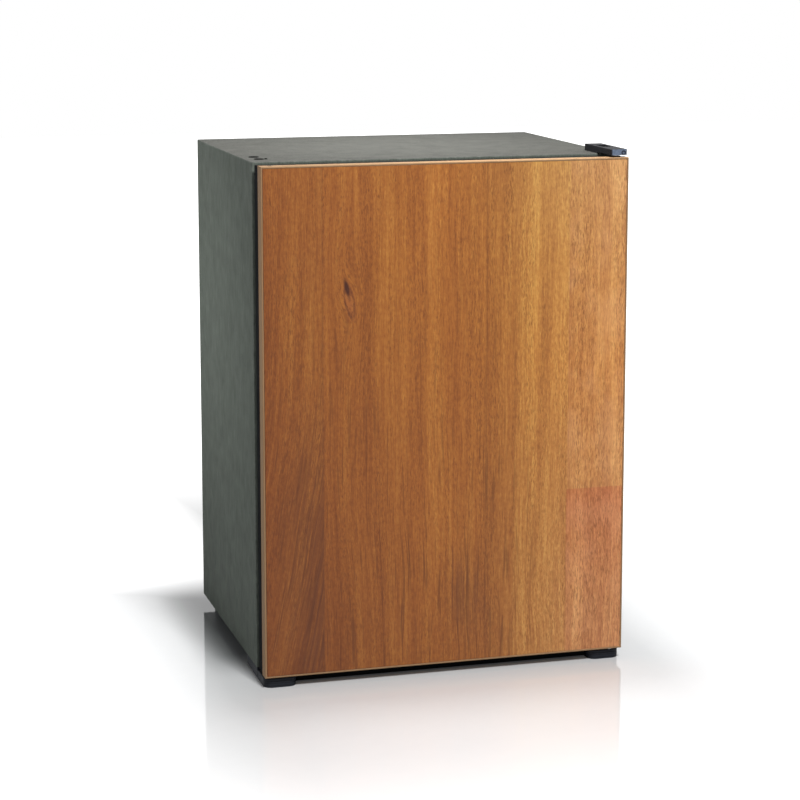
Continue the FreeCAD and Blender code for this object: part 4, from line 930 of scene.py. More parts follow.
class Surface(Enum):
    """Finishes, by the names of the record's material slots."""

    CABINET_PAINT = EmbossedCoat(seen(87, 93, 86), 0.7, specular=0.1, wear=0.1, dust=0.1)
    GALVANISED = Spangled(seen(168, 170, 168), 0.42, metallic=0.9, dust=0.12)
    FOAM = CellFoam(seen(226, 208, 160), 0.9, specular=0.2)
    PLUG_FOAM = CellFoam(seen(232, 232, 228), 0.85, specular=0.2, cell=260.0)
    WHITE_PLASTIC = Moulded(seen(228, 230, 228), 0.24, wear=0.0, dust=0.0, grain_depth=0.008,
                            grain_scale=300.0, tone_spread=0.02)
    RACK_PLASTIC = Clear(seen(226, 232, 234), 0.22, wear=0.0, dust=0.0, through=0.45)
    # Near-black partly as painted shade, for the shaded door gap.
    BLACK_PLASTIC = Tucked(seen(9, 10, 12), 0.75, specular=0.03, wear=0.0)
    HINGE_PLASTIC = Faced(seen(26, 27, 32), 0.6, specular=0.12, wear=0.2, wear_colour=seen(92, 100, 118),
                          face=COVER[0][1], mark=COVER_MARK)
    FOOT_RUBBER = Ribbed(seen(30, 33, 40), 0.6, specular=0.15, wear=0.15, wear_colour=seen(70, 72, 78),
                         dust=0.04)
    # Near-black partly as painted shade, for the shaded door gap.
    GASKET_RUBBER = Moulded(seen(8, 8, 9), 0.7, specular=0.04, wear=0.0, dust=0.0, grain_depth=0.015)
    MAGNET = Moulded(seen(62, 52, 46), 0.7, grain_scale=1500.0)
    DECOR_WOOD = Veneer(seen(163, 101, 54), 0.46, specular=0.28, coat=0.04, wear=0.2,
                        wear_colour=seen(205, 160, 110), dust=0.0, gloss_spread=0.12)
    EDGE_PROFILE = TopLitLined(seen(146, 116, 86), 0.6, specular=0.1, wear=0.2, dust=0.0,
                            wear_colour=seen(206, 172, 130), stretch=(900.0, 900.0, 20.0), tone_spread=0.1)
    ZINC_SCREW = Moulded(seen(176, 176, 170), 0.32, metallic=1.0, grain_depth=0.01)
    PIN_STEEL = Lined(seen(190, 190, 192), 0.22, metallic=1.0, stretch=(60.0, 60.0, 2500.0))
    BUSH_PLASTIC = BoreShaded(seen(140, 112, 84), 0.45, specular=0.2, wear=0.0)
    WIRE_COATING = Moulded(seen(222, 224, 222), 0.28, wear=0.1, grain_depth=0.02, grain_scale=350.0,
                           tone_spread=0.03)
    BARE_ALUMINIUM = Lined(seen(200, 202, 204), 0.36, metallic=1.0, stretch=(1400.0, 1400.0, 18.0))
    UNIT_BLACK = Moulded(seen(30, 30, 32), 0.38, wear=0.35, wear_colour=seen(96, 92, 88), dust=0.3,
                         grain_scale=500.0, grain_depth=0.05)
    JACKET_ZINC = Spangled(seen(160, 162, 162), 0.4, metallic=0.9, dust=0.2, crystal=140.0)
    CLEAR_TUBE = Moulded(seen(196, 200, 202), 0.3, wear=0.0, grain_scale=200.0, grain_depth=0.01)
    GREY_PLASTIC = Moulded(seen(128, 131, 134), 0.38, wear=0.2, wear_colour=seen(180, 182, 184))
    LENS = Clear(seen(238, 241, 240), 0.3, wear=0.0, dust=0.0, through=0.7)
    BOARD_GREEN = Circuit(seen(34, 100, 60), 0.35, wear=0.0)
    HEATER_STEEL = Lined(seen(150, 142, 130), 0.4, metallic=1.0, stretch=(80.0, 80.0, 1800.0))
    LEAD_SLEEVE = Sleeved(seen(150, 58, 40), 0.7)
    BRACKET_ZINC = Spangled(seen(182, 180, 168), 0.36, metallic=0.95, crystal=200.0, dust=0.15)

    @property
    def slot(self) -> str:
        """Give the record's name of the slot."""
        return self.name.lower()

    @classmethod
    def of(cls, part: dict) -> "Surface":
        """Give the finish that the record names for a part."""
        return cls[part["material_slot"].upper()]

    @cache
    def material(self) -> bpy.types.Material:
        """Give the surface's material, building it the first time."""
        return self.value.material(self.slot)


PARTS: dict[str, dict] = {part["node"]: part for part in frame["record"]["subparts"]}


def dress_nodes() -> None:
    """Give each construction node the finish of its slot."""
    for name, part in PARTS.items():
        node = frame["nodes"][name]
        material = Surface.of(part).material()
        if not node.material_slots:
            node.data.materials.append(material)
        for slot in node.material_slots:
            slot.material = material


# Shapes

Edge = bmesh.types.BMEdge
Face = bmesh.types.BMFace
Vert = bmesh.types.BMVert


@dataclass
class Shape:
    """A piece's mesh in the making, in millimetres from its station."""

    mesh: bmesh.types.BMesh = field(default_factory=bmesh.new)

    def block(self, x: Span, y: Span, z: Span) -> list[Vert]:
        """Add a box between three spans.

        Args:
            x: how far it reaches across.
            y: how far it reaches back.
            z: how far it reaches up.

        Returns:
            Its corners.
        """
        middle = Vector([(low + high) / 2 for low, high in (x, y, z)])
        size = Matrix.Diagonal([*(high - low for low, high in (x, y, z)), 1.0])
        return bmesh.ops.create_cube(self.mesh, size=1.0, matrix=Matrix.Translation(middle) @ size)["verts"]

    def rod(self, foot: Sequence[float], axis: Axis, length: float, radius: float, sides: int) -> None:
        """Add a straight bar that runs from a foot along an axis, its radius measured over its corners."""
        middle = Vector(foot) + Vector(axis.value) * (length / 2)
        bmesh.ops.create_cone(self.mesh, cap_ends=True, segments=sides, radius1=radius, radius2=radius,
                              depth=length, matrix=axis.turned(middle))

    def spin(self, geometry: list, foot: Sequence[float], axis: Axis, steps: int) -> None:
        """Turn an outline's points and edges once round an axis through a foot and close them."""
        bmesh.ops.spin(self.mesh, geom=geometry, cent=foot, axis=axis.value, angle=math.tau, steps=steps,
                       use_merge=True)
        bmesh.ops.remove_doubles(self.mesh, verts=self.mesh.verts, dist=1e-4)

    def lathe(self, foot: Sequence[float], axis: Axis, outline: Sequence[Span], steps: int) -> None:
        """Turn an outline about an axis.

        Args:
            foot: where the outline's heights count from.
            axis: the direction that they count in.
            outline: radius and height pairs.
            steps: how many facets go round it.
        """
        matrix = axis.turned(foot)
        spots = [self.mesh.verts.new(matrix @ Vector((radius, 0, height))) for radius, height in outline]
        edges = [self.mesh.edges.new(pair) for pair in zip(spots, spots[1:])]
        self.spin(spots + edges, foot, axis, steps)

    def bead(self, centre: Sequence[float], axis: Axis, radius: float, thick: float) -> None:
        """Add a ring of round section, such as a weld.

        Args:
            centre: its middle.
            axis: what it goes round.
            radius: the ring's radius.
            thick: the section's radius.
        """
        side = axis.turned(centre) @ Matrix.Translation((radius, 0, 0)) @ Matrix.Rotation(math.pi / 2, 4, "X")
        circle = bmesh.ops.create_circle(self.mesh, segments=10, radius=thick, matrix=side)["verts"]
        edges = {edge for vert in circle for edge in vert.link_edges}
        self.spin([*circle, *edges], centre, axis, 40)

    def hoop(self, half: float, low: float, high: float, section: Sequence[Span]) -> None:
        """Add a closed upright frame with mitred corners.

        Args:
            half: half its width.
            low: its lower edge.
            high: its upper edge.
            section: inset and depth pairs round the frame's section.
        """
        rings = [[self.mesh.verts.new((side * (half - inset), depth, high - inset if up else low + inset))
                  for side, up in ((-1, False), (1, False), (1, True), (-1, True))]
                 for inset, depth in section]
        for ring, after in zip(rings, rings[1:] + rings[:1]):
            for corner in range(4):
                onward = (corner + 1) % 4
                self.mesh.faces.new((ring[corner], ring[onward], after[onward], after[corner]))

    def take_node(self, name: str, station: Station) -> "Shape":
        """Copy a construction node's mesh, join its loose triangles and merge its flat faces.

        Args:
            name: the node.
            station: where the shape's sizes count from.

        Returns:
            This shape.
        """
        self.mesh.from_mesh(frame["nodes"][name].data)
        bmesh.ops.remove_doubles(self.mesh, verts=self.mesh.verts, dist=2e-6)
        bmesh.ops.dissolve_limit(self.mesh, angle_limit=math.radians(0.8), verts=self.mesh.verts,
                                 edges=self.mesh.edges, delimit={"NORMAL"})
        back = Matrix.Translation(-Vector(station.value)) @ Matrix.Scale(1 / MM, 4)
        bmesh.ops.transform(self.mesh, matrix=back, verts=self.mesh.verts)
        return self

    def slice(self, axis: Axis, level: float, faces: Sequence[Face]) -> None:
        """Cut some faces by the plane square to an axis.

        Args:
            axis: the axis.
            level: where on it the plane stands.
            faces: the faces.
        """
        edges = {edge for face in faces for edge in face.edges}
        verts = {vert for face in faces for vert in face.verts}
        bmesh.ops.bisect_plane(self.mesh, geom=[*verts, *edges, *faces], dist=1e-5,
                               plane_co=Vector(axis.value) * level, plane_no=axis.value)

    def corners(self, degrees: float = 30.0) -> list[Edge]:
        """Find the edges where two faces meet at more than an angle."""
        return [edge for edge in self.mesh.edges
                if len(edge.link_faces) == 2 and edge.calc_face_angle(0.0) > math.radians(degrees)]

    def round(self, edges: Iterable[Edge], radius: float, segments: int = 3) -> None:
        """Round some edges and mark the new faces as rims.

        Args:
            edges: the edges.
            radius: how much they are rounded.
            segments: how many facets go round each.
        """
        layers = self.mesh.faces.layers.float
        rim = layers.get("rim") or layers.new("rim")
        made = bmesh.ops.bevel(self.mesh, geom=list(dict.fromkeys(edges)), offset=radius,
                               offset_type="OFFSET", segments=segments, profile=0.5, affect="EDGES",
                               clamp_overlap=True, material=-1)
        for face in made["faces"]:
            face[rim] = 1.0

    def thicken(self, wall: float) -> None:
        """Give the sheet a wall that goes inwards from its faces."""
        bmesh.ops.recalc_face_normals(self.mesh, faces=self.mesh.faces)
        bmesh.ops.solidify(self.mesh, geom=self.mesh.faces, thickness=wall)


@dataclass
class SubAssembly:
    """A group of pieces that are made together, on one body and from one station."""

    BODY: ClassVar[Body] = Body.CABINET
    STATION: ClassVar[Station] = Station.CASE

    made: list[bpy.types.Object] = field(default_factory=list)

    def build(self) -> None:
        """Make the group's pieces."""
        raise NotImplementedError

    def publish(self, shape: Shape, name: str, surface: Surface, replaces: Sequence[str] = (),
                smooth: float = 40.0, body: Optional[Body] = None) -> None:
        """Turn a shape into a finished piece.

        Args:
            shape: the shape, in millimetres from the group's station.
            name: the piece's name.
            surface: its finish.
            replaces: construction nodes that it stands for.
            smooth: the angle in degrees up to which its shading runs on.
            body: what it rides on, the group's own body if left out.
        """
        bmesh.ops.recalc_face_normals(shape.mesh, faces=shape.mesh.faces)
        place = Matrix.Scale(MM, 4) @ Matrix.Translation(Vector(self.STATION.value))
        bmesh.ops.transform(shape.mesh, matrix=place, verts=shape.mesh.verts)
        mesh = bpy.data.meshes.new(name)
        shape.mesh.to_mesh(mesh)
        shape.mesh.free()
        mesh.shade_smooth()
        mesh.set_sharp_from_angle(angle=math.radians(smooth))
        mesh.materials.append(surface.material())
        piece = stand(name, mesh)
        piece.modifiers.new("evened", "WEIGHTED_NORMAL").keep_sharp = True
        rider = body or self.BODY
        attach(piece, rider.value)
        surface.slot
        if replaces:
            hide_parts(*replaces)
        self.made.append(piece)
        LOG.info("%s: %d faces on %s", name, len(mesh.polygons), rider.value)

    def soften(self, node: str, name: str, radius: float = 0.0, segments: int = 2,
               body: Optional[Body] = None) -> None:
        """Stand a smooth copy of a construction node in for it.

        Args:
            node: the node, whose finish the copy takes.
            name: the copy's name.
            radius: how much its edges are rounded, if at all.
            segments: how many facets go round each edge.
            body: what it rides on, the group's own body if left out.
        """
        shape = Shape().take_node(node, self.STATION)
        if radius:
            shape.round(shape.corners(), radius, segments)
        self.publish(shape, name, Surface.of(PARTS[node]), (node,), body=body)


def stand(name: str, data: bpy.types.ID) -> bpy.types.Object:
    """Put a mesh, light or camera into the scene.

    Args:
        name: the object's name.
        data: what it shows.

    Returns:
        The object.
    """
    made = bpy.data.objects.new(name, data)
    bpy.context.scene.collection.objects.link(made)
    return made


@dataclass(frozen=True)
class Screw:
    """Pan-head screw with a cross recess."""

    shank: float = 2.0
    head: float = 3.4
    height: float = 2.0
    below: float = 12.0
    recess: float = 0.13
    sunk: float = 0.45

    def drive(self, shape: Shape, foot: Sequence[float], axis: Axis) -> None:
        """Add the screw to a shape.

        Args:
            shape: the shape that it joins.
            foot: the middle of its head's underside.
            axis: the way that its head points.
        """
        made = Shape()
        shank, head, height = self.shank, self.head, self.height
        made.lathe((0, 0, 0), Axis.Z, ((0, -self.below), (shank * 0.7, -self.below),
                                       (shank, -self.below + shank * 0.6), (shank, 0), (head, 0),
                                       (head, height * 0.35), (head * 0.93, height * 0.72),
                                       (head * 0.8, height * 0.93), (head * 0.66, height), (0, height)), 28)

        def top() -> list[Face]:
            """Find the faces of the head's flat top."""
            return [face for face in made.mesh.faces if face.calc_center_median().z > height - 1e-3]

        wide = head * self.recess
        for plane in (Axis.X, Axis.Y):
            for level in (-wide, wide):
                made.slice(plane, level, top())
        cross = [face for face in top() if min(map(abs, face.calc_center_median().xy)) < wide]
        sunk = bmesh.ops.extrude_face_region(made.mesh, geom=cross)["geom"]
        bmesh.ops.translate(made.mesh, vec=(0, 0, -height * self.sunk),
                            verts=[item for item in sunk if isinstance(item, Vert)])
        bmesh.ops.delete(made.mesh, geom=cross, context="FACES")
        bmesh.ops.transform(made.mesh, matrix=axis.turned(foot), verts=made.mesh.verts)
        held = bpy.data.meshes.new("screw")
        made.mesh.to_mesh(held)
        made.mesh.free()
        shape.mesh.from_mesh(held)
        bpy.data.meshes.remove(held)


@dataclass
class Casing(SubAssembly):
    """Sheet shell of the cabinet, with its feet, rail and blanking caps."""

    half: float = 201.0
    depth: float = 298.0
    height: float = 544.0
    flange: float = 26.0
    sheet: float = 0.8
    fold: float = 1.5
    cap_spots: tuple[Colour, ...] = ((-187.0, 29.0, 5.5), (-187.0, 55.0, 5.5), (-179.5, 29.0, 1.7))
    cap_stem: float = 2.0
    rivet_columns: tuple[float, ...] = (-188.0, -64.0, 64.0, 188.0)
    rivet_rows: Span = (10.0, 532.0)

    def build(self) -> None:
        """Make the wrap, the caps, the feet and the rivets."""
        self.wrap()
        self.caps()
        for side in ("left", "right"):
            self.soften(f"front_foot_{side}", f"foot_block_{side}", 1.1, 3)
        self.soften("rear_feet", "back_feet", 1.0, 3)
        self.soften("base_front_rail", "toe_rail", 0.4)
        self.back_rivets()

    def wrap(self) -> None:
        """Fold the embossed sheet over the sides and the top, with its flange round the front."""
        shape = Shape()
        shape.block((-self.half, self.half), (0, self.depth), (0, self.height))
        inner, top = self.half - self.flange, self.height - self.flange
        for axis, level in ((Axis.X, -inner), (Axis.X, inner), (Axis.Z, top)):
            front = [face for face in shape.mesh.faces if face.calc_center_median().y < 0.01]
            shape.slice(axis, level, front)
        open_faces = []
        for face in shape.mesh.faces:
            x, y, z = face.calc_center_median()
            if y > self.depth - 0.01 or z < 0.01 or (y < 0.01 and abs(x) < inner and z < top):
                open_faces.append(face)
        bmesh.ops.delete(shape.mesh, geom=open_faces, context="FACES")
        shape.round(shape.corners(57.0), self.fold, 5)
        shape.thicken(self.sheet)
        self.publish(shape, "casing_sheet", Surface.CABINET_PAINT, ("cabinet_wrap",))

    def caps(self) -> None:
        """Press a domed cap into each unused hinge hole."""
        shape = Shape()
        for x, y, radius in self.cap_spots:
            stem = min(self.cap_stem, radius * 0.7)
            shape.lathe((x, y, self.height), Axis.Z,
                        ((0, -6), (stem * 0.8, -6), (stem, -5.2), (stem, 0), (radius, 0), (radius, 0.25),
                         (radius * 0.94, 0.6), (radius * 0.8, 0.86), (radius * 0.5, 0.98), (0, 1.0)), 40)
        self.publish(shape, "blanking_caps", Surface.BLACK_PLASTIC, ("hinge_blanking_plugs",))

    def back_rivets(self) -> None:
        """Rivet the back panel's rim with blind rivets."""
        shape = Shape()
        for x in self.rivet_columns:
            for z in self.rivet_rows:
                shape.lathe((x, self.depth - 0.1, z), Axis.Y,
                            ((0, -0.6), (1.6, -0.6), (1.6, 0.1), (3.2, 0.1), (3.0, 0.7), (2.0, 1.1),
                             (1.1, 1.15), (1.0, 0.6), (0, 0.6)), 24)
        self.publish(shape, "back_rivets", Surface.BARE_ALUMINIUM)


@dataclass
class HingeSet(SubAssembly):
    """Top hinge with its bracket, pin, screws and moulded cover, and the bottom pin."""

    plate_top: float = 546.5
    rim_level: float = 551.3
    boss: float = 190.1
    boss_reach: float = 8.6
    screw_spots: tuple[Span, ...] = ((187.0, 12.0), (187.0, 29.0))

    def build(self) -> None:
        """Make the hinge's pieces."""
        self.cover()
        self.soften("top_hinge_bracket", "hinge_plate", 0.35)
        screws = Shape()
        for x, y in self.screw_spots:
            Screw().drive(screws, (x, y, self.plate_top), Axis.Z)
        self.publish(screws, "hinge_plate_screws", Surface.ZINC_SCREW, ("hinge_screws",))
        self.soften("top_hinge_pin", "upper_pin", 0.3)
        self.soften("bottom_hinge_pin", "lower_pin", 0.3)

    def cover(self) -> None:
        """Mould the cover with a soft top rim, apart from the boss on its nose."""
        shape = Shape().take_node("top_hinge_cover", self.STATION)
        rim = [edge for edge in shape.corners()
               if min(vert.co.z for vert in edge.verts) > self.rim_level
               and max(abs(vert.co.x - self.boss) for vert in edge.verts) > self.boss_reach]
        shape.round(rim, 0.8, 4)
        self.publish(shape, "hinge_cap", Surface.HINGE_PLASTIC, ("top_hinge_cover",))


@dataclass
class DecorDoor(SubAssembly):
    """Door: veneered panel, edge profile, black tray, seal, white liner and racks."""

    BODY: ClassVar[Body] = Body.DOOR
    STATION: ClassVar[Station] = Station.DOOR

    seal_half: float = 189.0
    seal_height: Span = (12.0, 530.5)
    seal_section: tuple[Span, ...] = (
        (0.3, 34.0), (11.7, 34.0), (12.0, 34.5), (12.0, 35.3), (10.6, 36.2), (11.6, 37.1), (11.8, 38.2),
        (12.0, 38.8), (12.0, 41.2), (11.5, 41.7), (0.5, 41.7), (0.0, 41.2), (0.0, 38.8), (0.3, 38.2),
        (1.6, 37.3), (1.6, 36.4), (0.2, 35.5), (0.0, 34.6))

    def build(self) -> None:
        """Make the door's pieces."""
        self.soften("wood_panel", "veneer_panel")
        self.soften("door_frame", "edge_profile", 0.25)
        self.soften("door_shell", "door_tray", 0.5)
        self.seal()
        self.soften("door_liner", "liner_sheet", 1.4, 3)
        for level in ("upper", "lower"):
            self.soften(f"door_rack_{level}", f"bottle_rack_{level}", 0.6)
        for bush in ("hinge_bush_top", "hinge_bush_bottom", "spare_bushes"):
            self.soften(bush, f"{bush}_ring", 0.25)

    def seal(self) -> None:
        """Draw the magnetic seal's bellows round the door."""
        shape = Shape()
        shape.hoop(self.seal_half, *self.seal_height, self.seal_section)
        self.publish(shape, "door_seal", Surface.GASKET_RUBBER, ("door_gasket",), 50.0)


@dataclass
class Interior(SubAssembly):
    """Cold room: liner, wire shelves, fins, drip tray, thermostat and light."""

    knob_spot: Span = (101.5, 493.5)
    dial_front: float = 49.6
    ticks: int = 6
    first_tick: float = -135.0
    tick_step: float = 54.0
    tick_half: float = 0.35
    tick_rise: float = 0.2
    tick_foot: float = 12.4
    tick_length: float = 1.4
    tick_growth: float = 0.2

    def build(self) -> None:
        """Make the cold room's pieces."""
        self.soften("inner_liner", "cold_room", 0.9, 3)
        for level in ("upper", "lower"):
            self.soften(f"shelf_{level}", f"wire_shelf_{level}")
        self.soften("evaporator_fins", "cold_fins", 0.4)
        self.soften("drip_tray", "drip_channel", 0.5)
        self.soften("thermostat_housing", "control_housing", 0.6, 3)
        self.soften("light_lens", "lamp_lens", 0.5)
        self.soften("thermostat_knob", "dial_knob", 0.5, 3, Body.KNOB)
        self.scale_ticks()

    def scale_ticks(self) -> None:
        """Mould raised ticks round the knob, longer towards the cold end."""
        shape = Shape()
        for step in range(self.ticks):
            made = shape.block((-self.tick_half, self.tick_half),
                               (self.dial_front - self.tick_rise, self.dial_front + self.tick_rise),
                               (self.tick_foot, self.tick_foot + self.tick_length + self.tick_growth * step))
            turn = Matrix.Rotation(math.radians(self.first_tick + self.tick_step * step), 3, "Y")
            bmesh.ops.rotate(shape.mesh, verts=made, cent=(0, 0, 0), matrix=turn)
            bmesh.ops.translate(shape.mesh, verts=made, vec=(self.knob_spot[0], 0, self.knob_spot[1]))
        self.publish(shape, "dial_ticks", Surface.GREY_PLASTIC)


@dataclass(frozen=True)
class Weld:
    """Bead round a joint of the cooling unit, at a place across and upright."""

    x: float
    z: float
    axis: Axis
    radius: float
    thick: float


@dataclass
class CoolingUnit(SubAssembly):
    """Absorption unit on the back, with its brackets, dish and terminal box."""

    STATION: ClassVar[Station] = Station.UNIT

    round_parts: tuple[str, ...] = ("evaporator_tube", "boiler_tube", "condenser_tube",
                                    "gas_heat_exchanger", "absorber_coil", "absorber_vessel",
                                    "liquid_heat_exchanger", "boiler_jacket", "heater_lead", "drain_tube")
    sharp_parts: tuple[tuple[str, float], ...] = (
        ("condenser_fins", 0.12), ("heating_cartridge", 0.4), ("unit_brackets", 0.4),
        ("evaporation_dish", 0.6), ("terminal_box", 0.5), ("terminal_box_cover", 0.5),
        ("cable_gland", 0.3), ("evaporator_plug", 0.6))
    depth: float = 65.0
    plate: float = 1.5
    screw_spots: tuple[Span, ...] = ((-146.0, 361.0), (-42.0, 361.0), (16.0, 52.7), (88.0, 52.7))
    jacket: Span = (-118.0, 28.0)
    straps: Span = (150.0, 262.0)
    crimp: Span = (5.5, 5.0)
    nut_foot: Colour = (-172.6, 20.0, 54.0)
    nut_length: float = 4.4
    nut_radius: float = 9.6
    welds: tuple[Weld, ...] = (
        Weld(-80.0, 500.0, Axis.X, 9.0, 1.1), Weld(-55.0, 330.5, Axis.Z, 8.0, 1.2),
        Weld(-55.0, 419.5, Axis.Z, 8.0, 1.2), Weld(92.0, 125.0, Axis.Z, 8.6, 1.2),
        Weld(-52.0, 92.0, Axis.X, 6.4, 1.2), Weld(-38.0, 92.0, Axis.X, 28.0, 0.7),
        Weld(114.0, 92.0, Axis.X, 28.0, 0.7), Weld(130.0, 470.0, Axis.Z, 9.0, 1.1))

    def build(self) -> None:
        """Make the unit's pieces."""
        for part in self.round_parts:
            self.soften(part, f"{part}_skin")
        for part, radius in self.sharp_parts:
            self.soften(part, f"{part}_skin", radius)
        self.weld_beads()
        self.jacket_straps()
        self.fasteners()

    def weld_beads(self) -> None:
        """Run a bead round each joint of the tubes and the vessel."""
        shape = Shape()
        for weld in self.welds:
            shape.bead((weld.x, self.depth, weld.z), weld.axis, weld.radius, weld.thick)
        self.publish(shape, "weld_beads", Surface.UNIT_BLACK)

    def jacket_straps(self) -> None:
        """Bind the boiler's jacket with two crimped straps."""
        shape = Shape()
        x, radius = self.jacket
        half, rise = self.crimp
        outline = [(radius + out, height) for out, height in (
            (-0.1, -4.0), (0.35, -4.0), (0.5, -3.7), (0.5, 3.7), (0.35, 4.0), (-0.1, 4.0), (-0.1, -4.0))]
        back = self.depth + radius
        for z in self.straps:
            shape.lathe((x, self.depth, z), Axis.Z, outline, 64)
            shape.block((x - half, x + half), (back - 0.6, back + 1.1), (z - rise, z + rise))
        upright = [edge for edge in shape.mesh.edges
                   if abs(edge.verts[1].co.z - edge.verts[0].co.z) > 2 * rise - 0.1]
        shape.round(upright, 0.4)
        self.publish(shape, "jacket_straps", Surface.BARE_ALUMINIUM)

    def fasteners(self) -> None:
        """Drive the brackets' screws and fit the gland's nut."""
        screws = Shape()
        for x, z in self.screw_spots:
            Screw().drive(screws, (x, self.plate, z), Axis.Y)
        self.publish(screws, "bracket_screws", Surface.ZINC_SCREW, ("unit_screws",))
        nut = Shape()
        nut.rod(self.nut_foot, Axis.X, self.nut_length, self.nut_radius, 6)
        nut.round(nut.corners(), 0.5)
        self.publish(nut, "gland_nut", Surface.BLACK_PLASTIC)


# Surroundings

@dataclass(frozen=True)
class Softbox:
    """Large rectangular light.

    Args:
        name: the light's name.
        spot: where it hangs.
        aim: the point that it faces.
        size: its width and height.
        power: its power in watts.
        spread: how far its light fans out, in degrees.
        mirrored: whether glossy surfaces show it.
    """

    name: str
    spot: Colour
    aim: Colour
    size: Span
    power: float
    spread: float = 180.0
    mirrored: bool = True

    def hang(self) -> None:
        """Hang the light in the scene."""
        light = bpy.data.lights.new(self.name, "AREA")
        light.shape = "RECTANGLE"
        light.size, light.size_y = self.size
        light.energy = self.power
        light.spread = math.radians(self.spread)
        lamp = stand(self.name, light)
        lamp.location = self.spot
        lamp.rotation_euler = (Vector(self.aim) - Vector(self.spot)).to_track_quat("-Z", "Y").to_euler()
        lamp.visible_camera = False
        lamp.visible_glossy = self.mirrored


@dataclass
class Floor:
    """Broad glossy floor that whitens away from the fridge as the camera sees it.

    Args:
        reach: half its side.
        sides: for x and y, half the fridge's size and how fast the floor whitens beyond it.
        whitening: how white it is by the distance that gives.
        strip: soft sides of the painted shadow, a dark strip along the fridge's left side.
        back: soft sides of the corner behind it, where painted light whitens out the fridge's shadow.
    """

    reach: float = 7.0
    sides: tuple[tuple[str, float, float], ...] = (("X", 0.2, 2.4), ("Y", 0.21, 1.0))
    whitening: tuple[Span, ...] = ((0.0, 0.03), (0.09, 0.09), (0.22, 0.25), (0.4, 0.5), (0.7, 1.0))
    strip: tuple[tuple[str, Span], ...] = (("X", (-0.262, -0.205)), ("X", (0.0, -0.19)), ("Y", (0.2, 0.14)),
                                           ("Y", (-0.18, -0.08)))
    back: tuple[tuple[str, Span], ...] = (("Y", (0.13, 0.3)), ("X", (-0.05, -0.21)))
    colours: tuple[Colour, Colour] = ((0.76, 0.77, 0.78), (0.78, 0.79, 0.8))
    shadow_strip_colour: Colour = (0.3, 0.31, 0.32)
    roughness: float = 0.06
    ior: float = 2.0

    def lay(self) -> None:
        """Lay the floor."""
        grid = bmesh.new()
        bmesh.ops.create_grid(grid, x_segments=8, y_segments=8, size=self.reach)
        mesh = bpy.data.meshes.new("floor")
        grid.to_mesh(mesh)
        grid.free()
        mesh.materials.append(self.material())
        stand("floor", mesh)

    def material(self) -> bpy.types.Material:
        """Build the floor's material.

        Returns:
            The material.
        """
        made = blank(bpy.data.materials, "floor")
        skin = Skin(made.node_tree)
        gaps = [((abs(skin.place.part(axis)) - half) * steep).larger(0.0) for axis, half, steep in self.sides]
        away = (gaps[0] ** 2.0 + gaps[1] ** 2.0).root()
        near = away.ramp([(distance, (white,) * 3) for distance, white in self.whitening])
        # Painted shadow: the strip darkens the floor's colour and takes away its glow.
        strip = self.patch(skin, self.strip)
        lit = near * (strip * -1.0 + 1.0)
        pale = skin.effect(GRAIN, scale=60.0)["Tone"].between(*self.colours)
        # The back corner's glow is painted light over the fridge's shadow.
        camera = skin.output("ShaderNodeLightPath", "Is Camera Ray")
        skin.set({"Base Color": pale.mixed(self.shadow_strip_colour, strip), "Roughness": self.roughness,
                  "IOR": self.ior, "Emission Color": WHITE,
                  "Emission Strength": camera * self.patch(skin, self.back).larger(lit)})
        return made

    def patch(self, skin: Skin, sides: Sequence[tuple[str, Span]]) -> Term:
        """Give a soft-edged patch of the floor.

        Args:
            skin: the material's writer.
            sides: each side's axis, and the span in which the patch sets in.

        Returns:
            The patch, from 0 outside to 1 inside.
        """
        first, *others = (skin.place.part(axis).eased(span) for axis, span in sides)
        return math.prod(others, start=first)


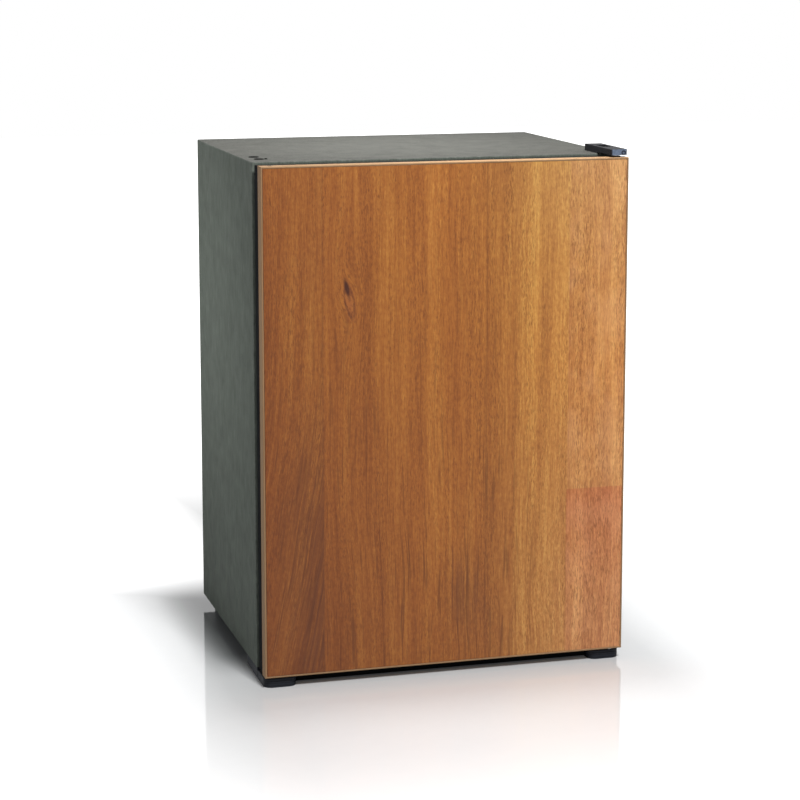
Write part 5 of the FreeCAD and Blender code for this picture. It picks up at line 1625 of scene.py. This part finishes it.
@dataclass
class Studio:
    """Pale floor, soft lights and the camera at the photograph's angle.

    Args:
        eye: where the camera stands.
        turn: how far it is turned about the upright, in degrees.
        drop: how far it looks down, in degrees.
        lens: its focal length in millimetres.
        rise: its shift, as a share of the frame.
        sky: how bright the world lights matt surfaces, where it is seen as 1.
    """

    eye: Colour = (-0.699, -2.4893, 0.7745)
    turn: float = -15.87
    drop: float = 9.24
    lens: float = 102.76
    rise: float = -0.1
    sky: float = 0.15
    lights: tuple[Softbox, ...] = (
        Softbox("key_light", (0.02, -1.85, 2.2), (0.0, -0.15, 0.3), (0.4, 0.4), 62.0),
        Softbox("top_light", (0.0, 0.0, 1.5), (0.0, -0.02, 0.5), (0.3, 0.25), 0.52, 36.0, False),
        Softbox("side_light", (-1.0, 0.42, 0.45), (-0.2, 0.03, 0.4), (0.25, 0.3), 0.46, 46.0, False))

    def build(self) -> None:
        """Set up the floor, the lights, the world and the camera."""
        Floor().lay()
        for light in self.lights:
            light.hang()
        self.world()
        self.camera()

    def world(self) -> None:
        """Surround the scene with white, dimmer where it lights matt surfaces than where it is seen."""
        bpy.context.scene.world = blank(bpy.data.worlds, "studio")
        tree = Tree(bpy.context.scene.world.node_tree)
        path = tree.node("ShaderNodeLightPath").outputs
        camera, glossy, through = (Term(tree, path[f"Is {ray} Ray"])
                                   for ray in ("Camera", "Glossy", "Transmission"))
        strength = camera.larger(glossy).larger(through).remap((0.0, 1.0), (self.sky, 1.0))
        sky = tree.output("ShaderNodeBackground", 0, {"Color": WHITE, "Strength": strength})
        tree.node("ShaderNodeOutputWorld", {"Surface": sky})

    def camera(self) -> None:
        """Stand the camera to the left of the fridge and above it, tilted down with a small shift."""
        lens = bpy.data.cameras.new("camera")
        lens.sensor_width = 36.0
        lens.lens = self.lens
        lens.shift_y = self.rise
        camera = stand("camera", lens)
        camera.location = self.eye
        camera.rotation_euler = (math.radians(90 - self.drop), 0.0, math.radians(self.turn))
        bpy.context.scene.camera = camera


def main() -> None:
    """Dress the whole fridge in order."""
    logging.basicConfig(level=logging.INFO, format="%(name)s %(message)s")
    bpy.context.scene.view_settings.view_transform = "Standard"
    dress_nodes()
    pieces = []
    for group in (Casing(), HingeSet(), DecorDoor(), Interior(), CoolingUnit()):
        group.build()
        pieces += group.made
    Studio().build()
    LOG.info("%d pieces", len(pieces))


if __name__ == "__main__":
    main()
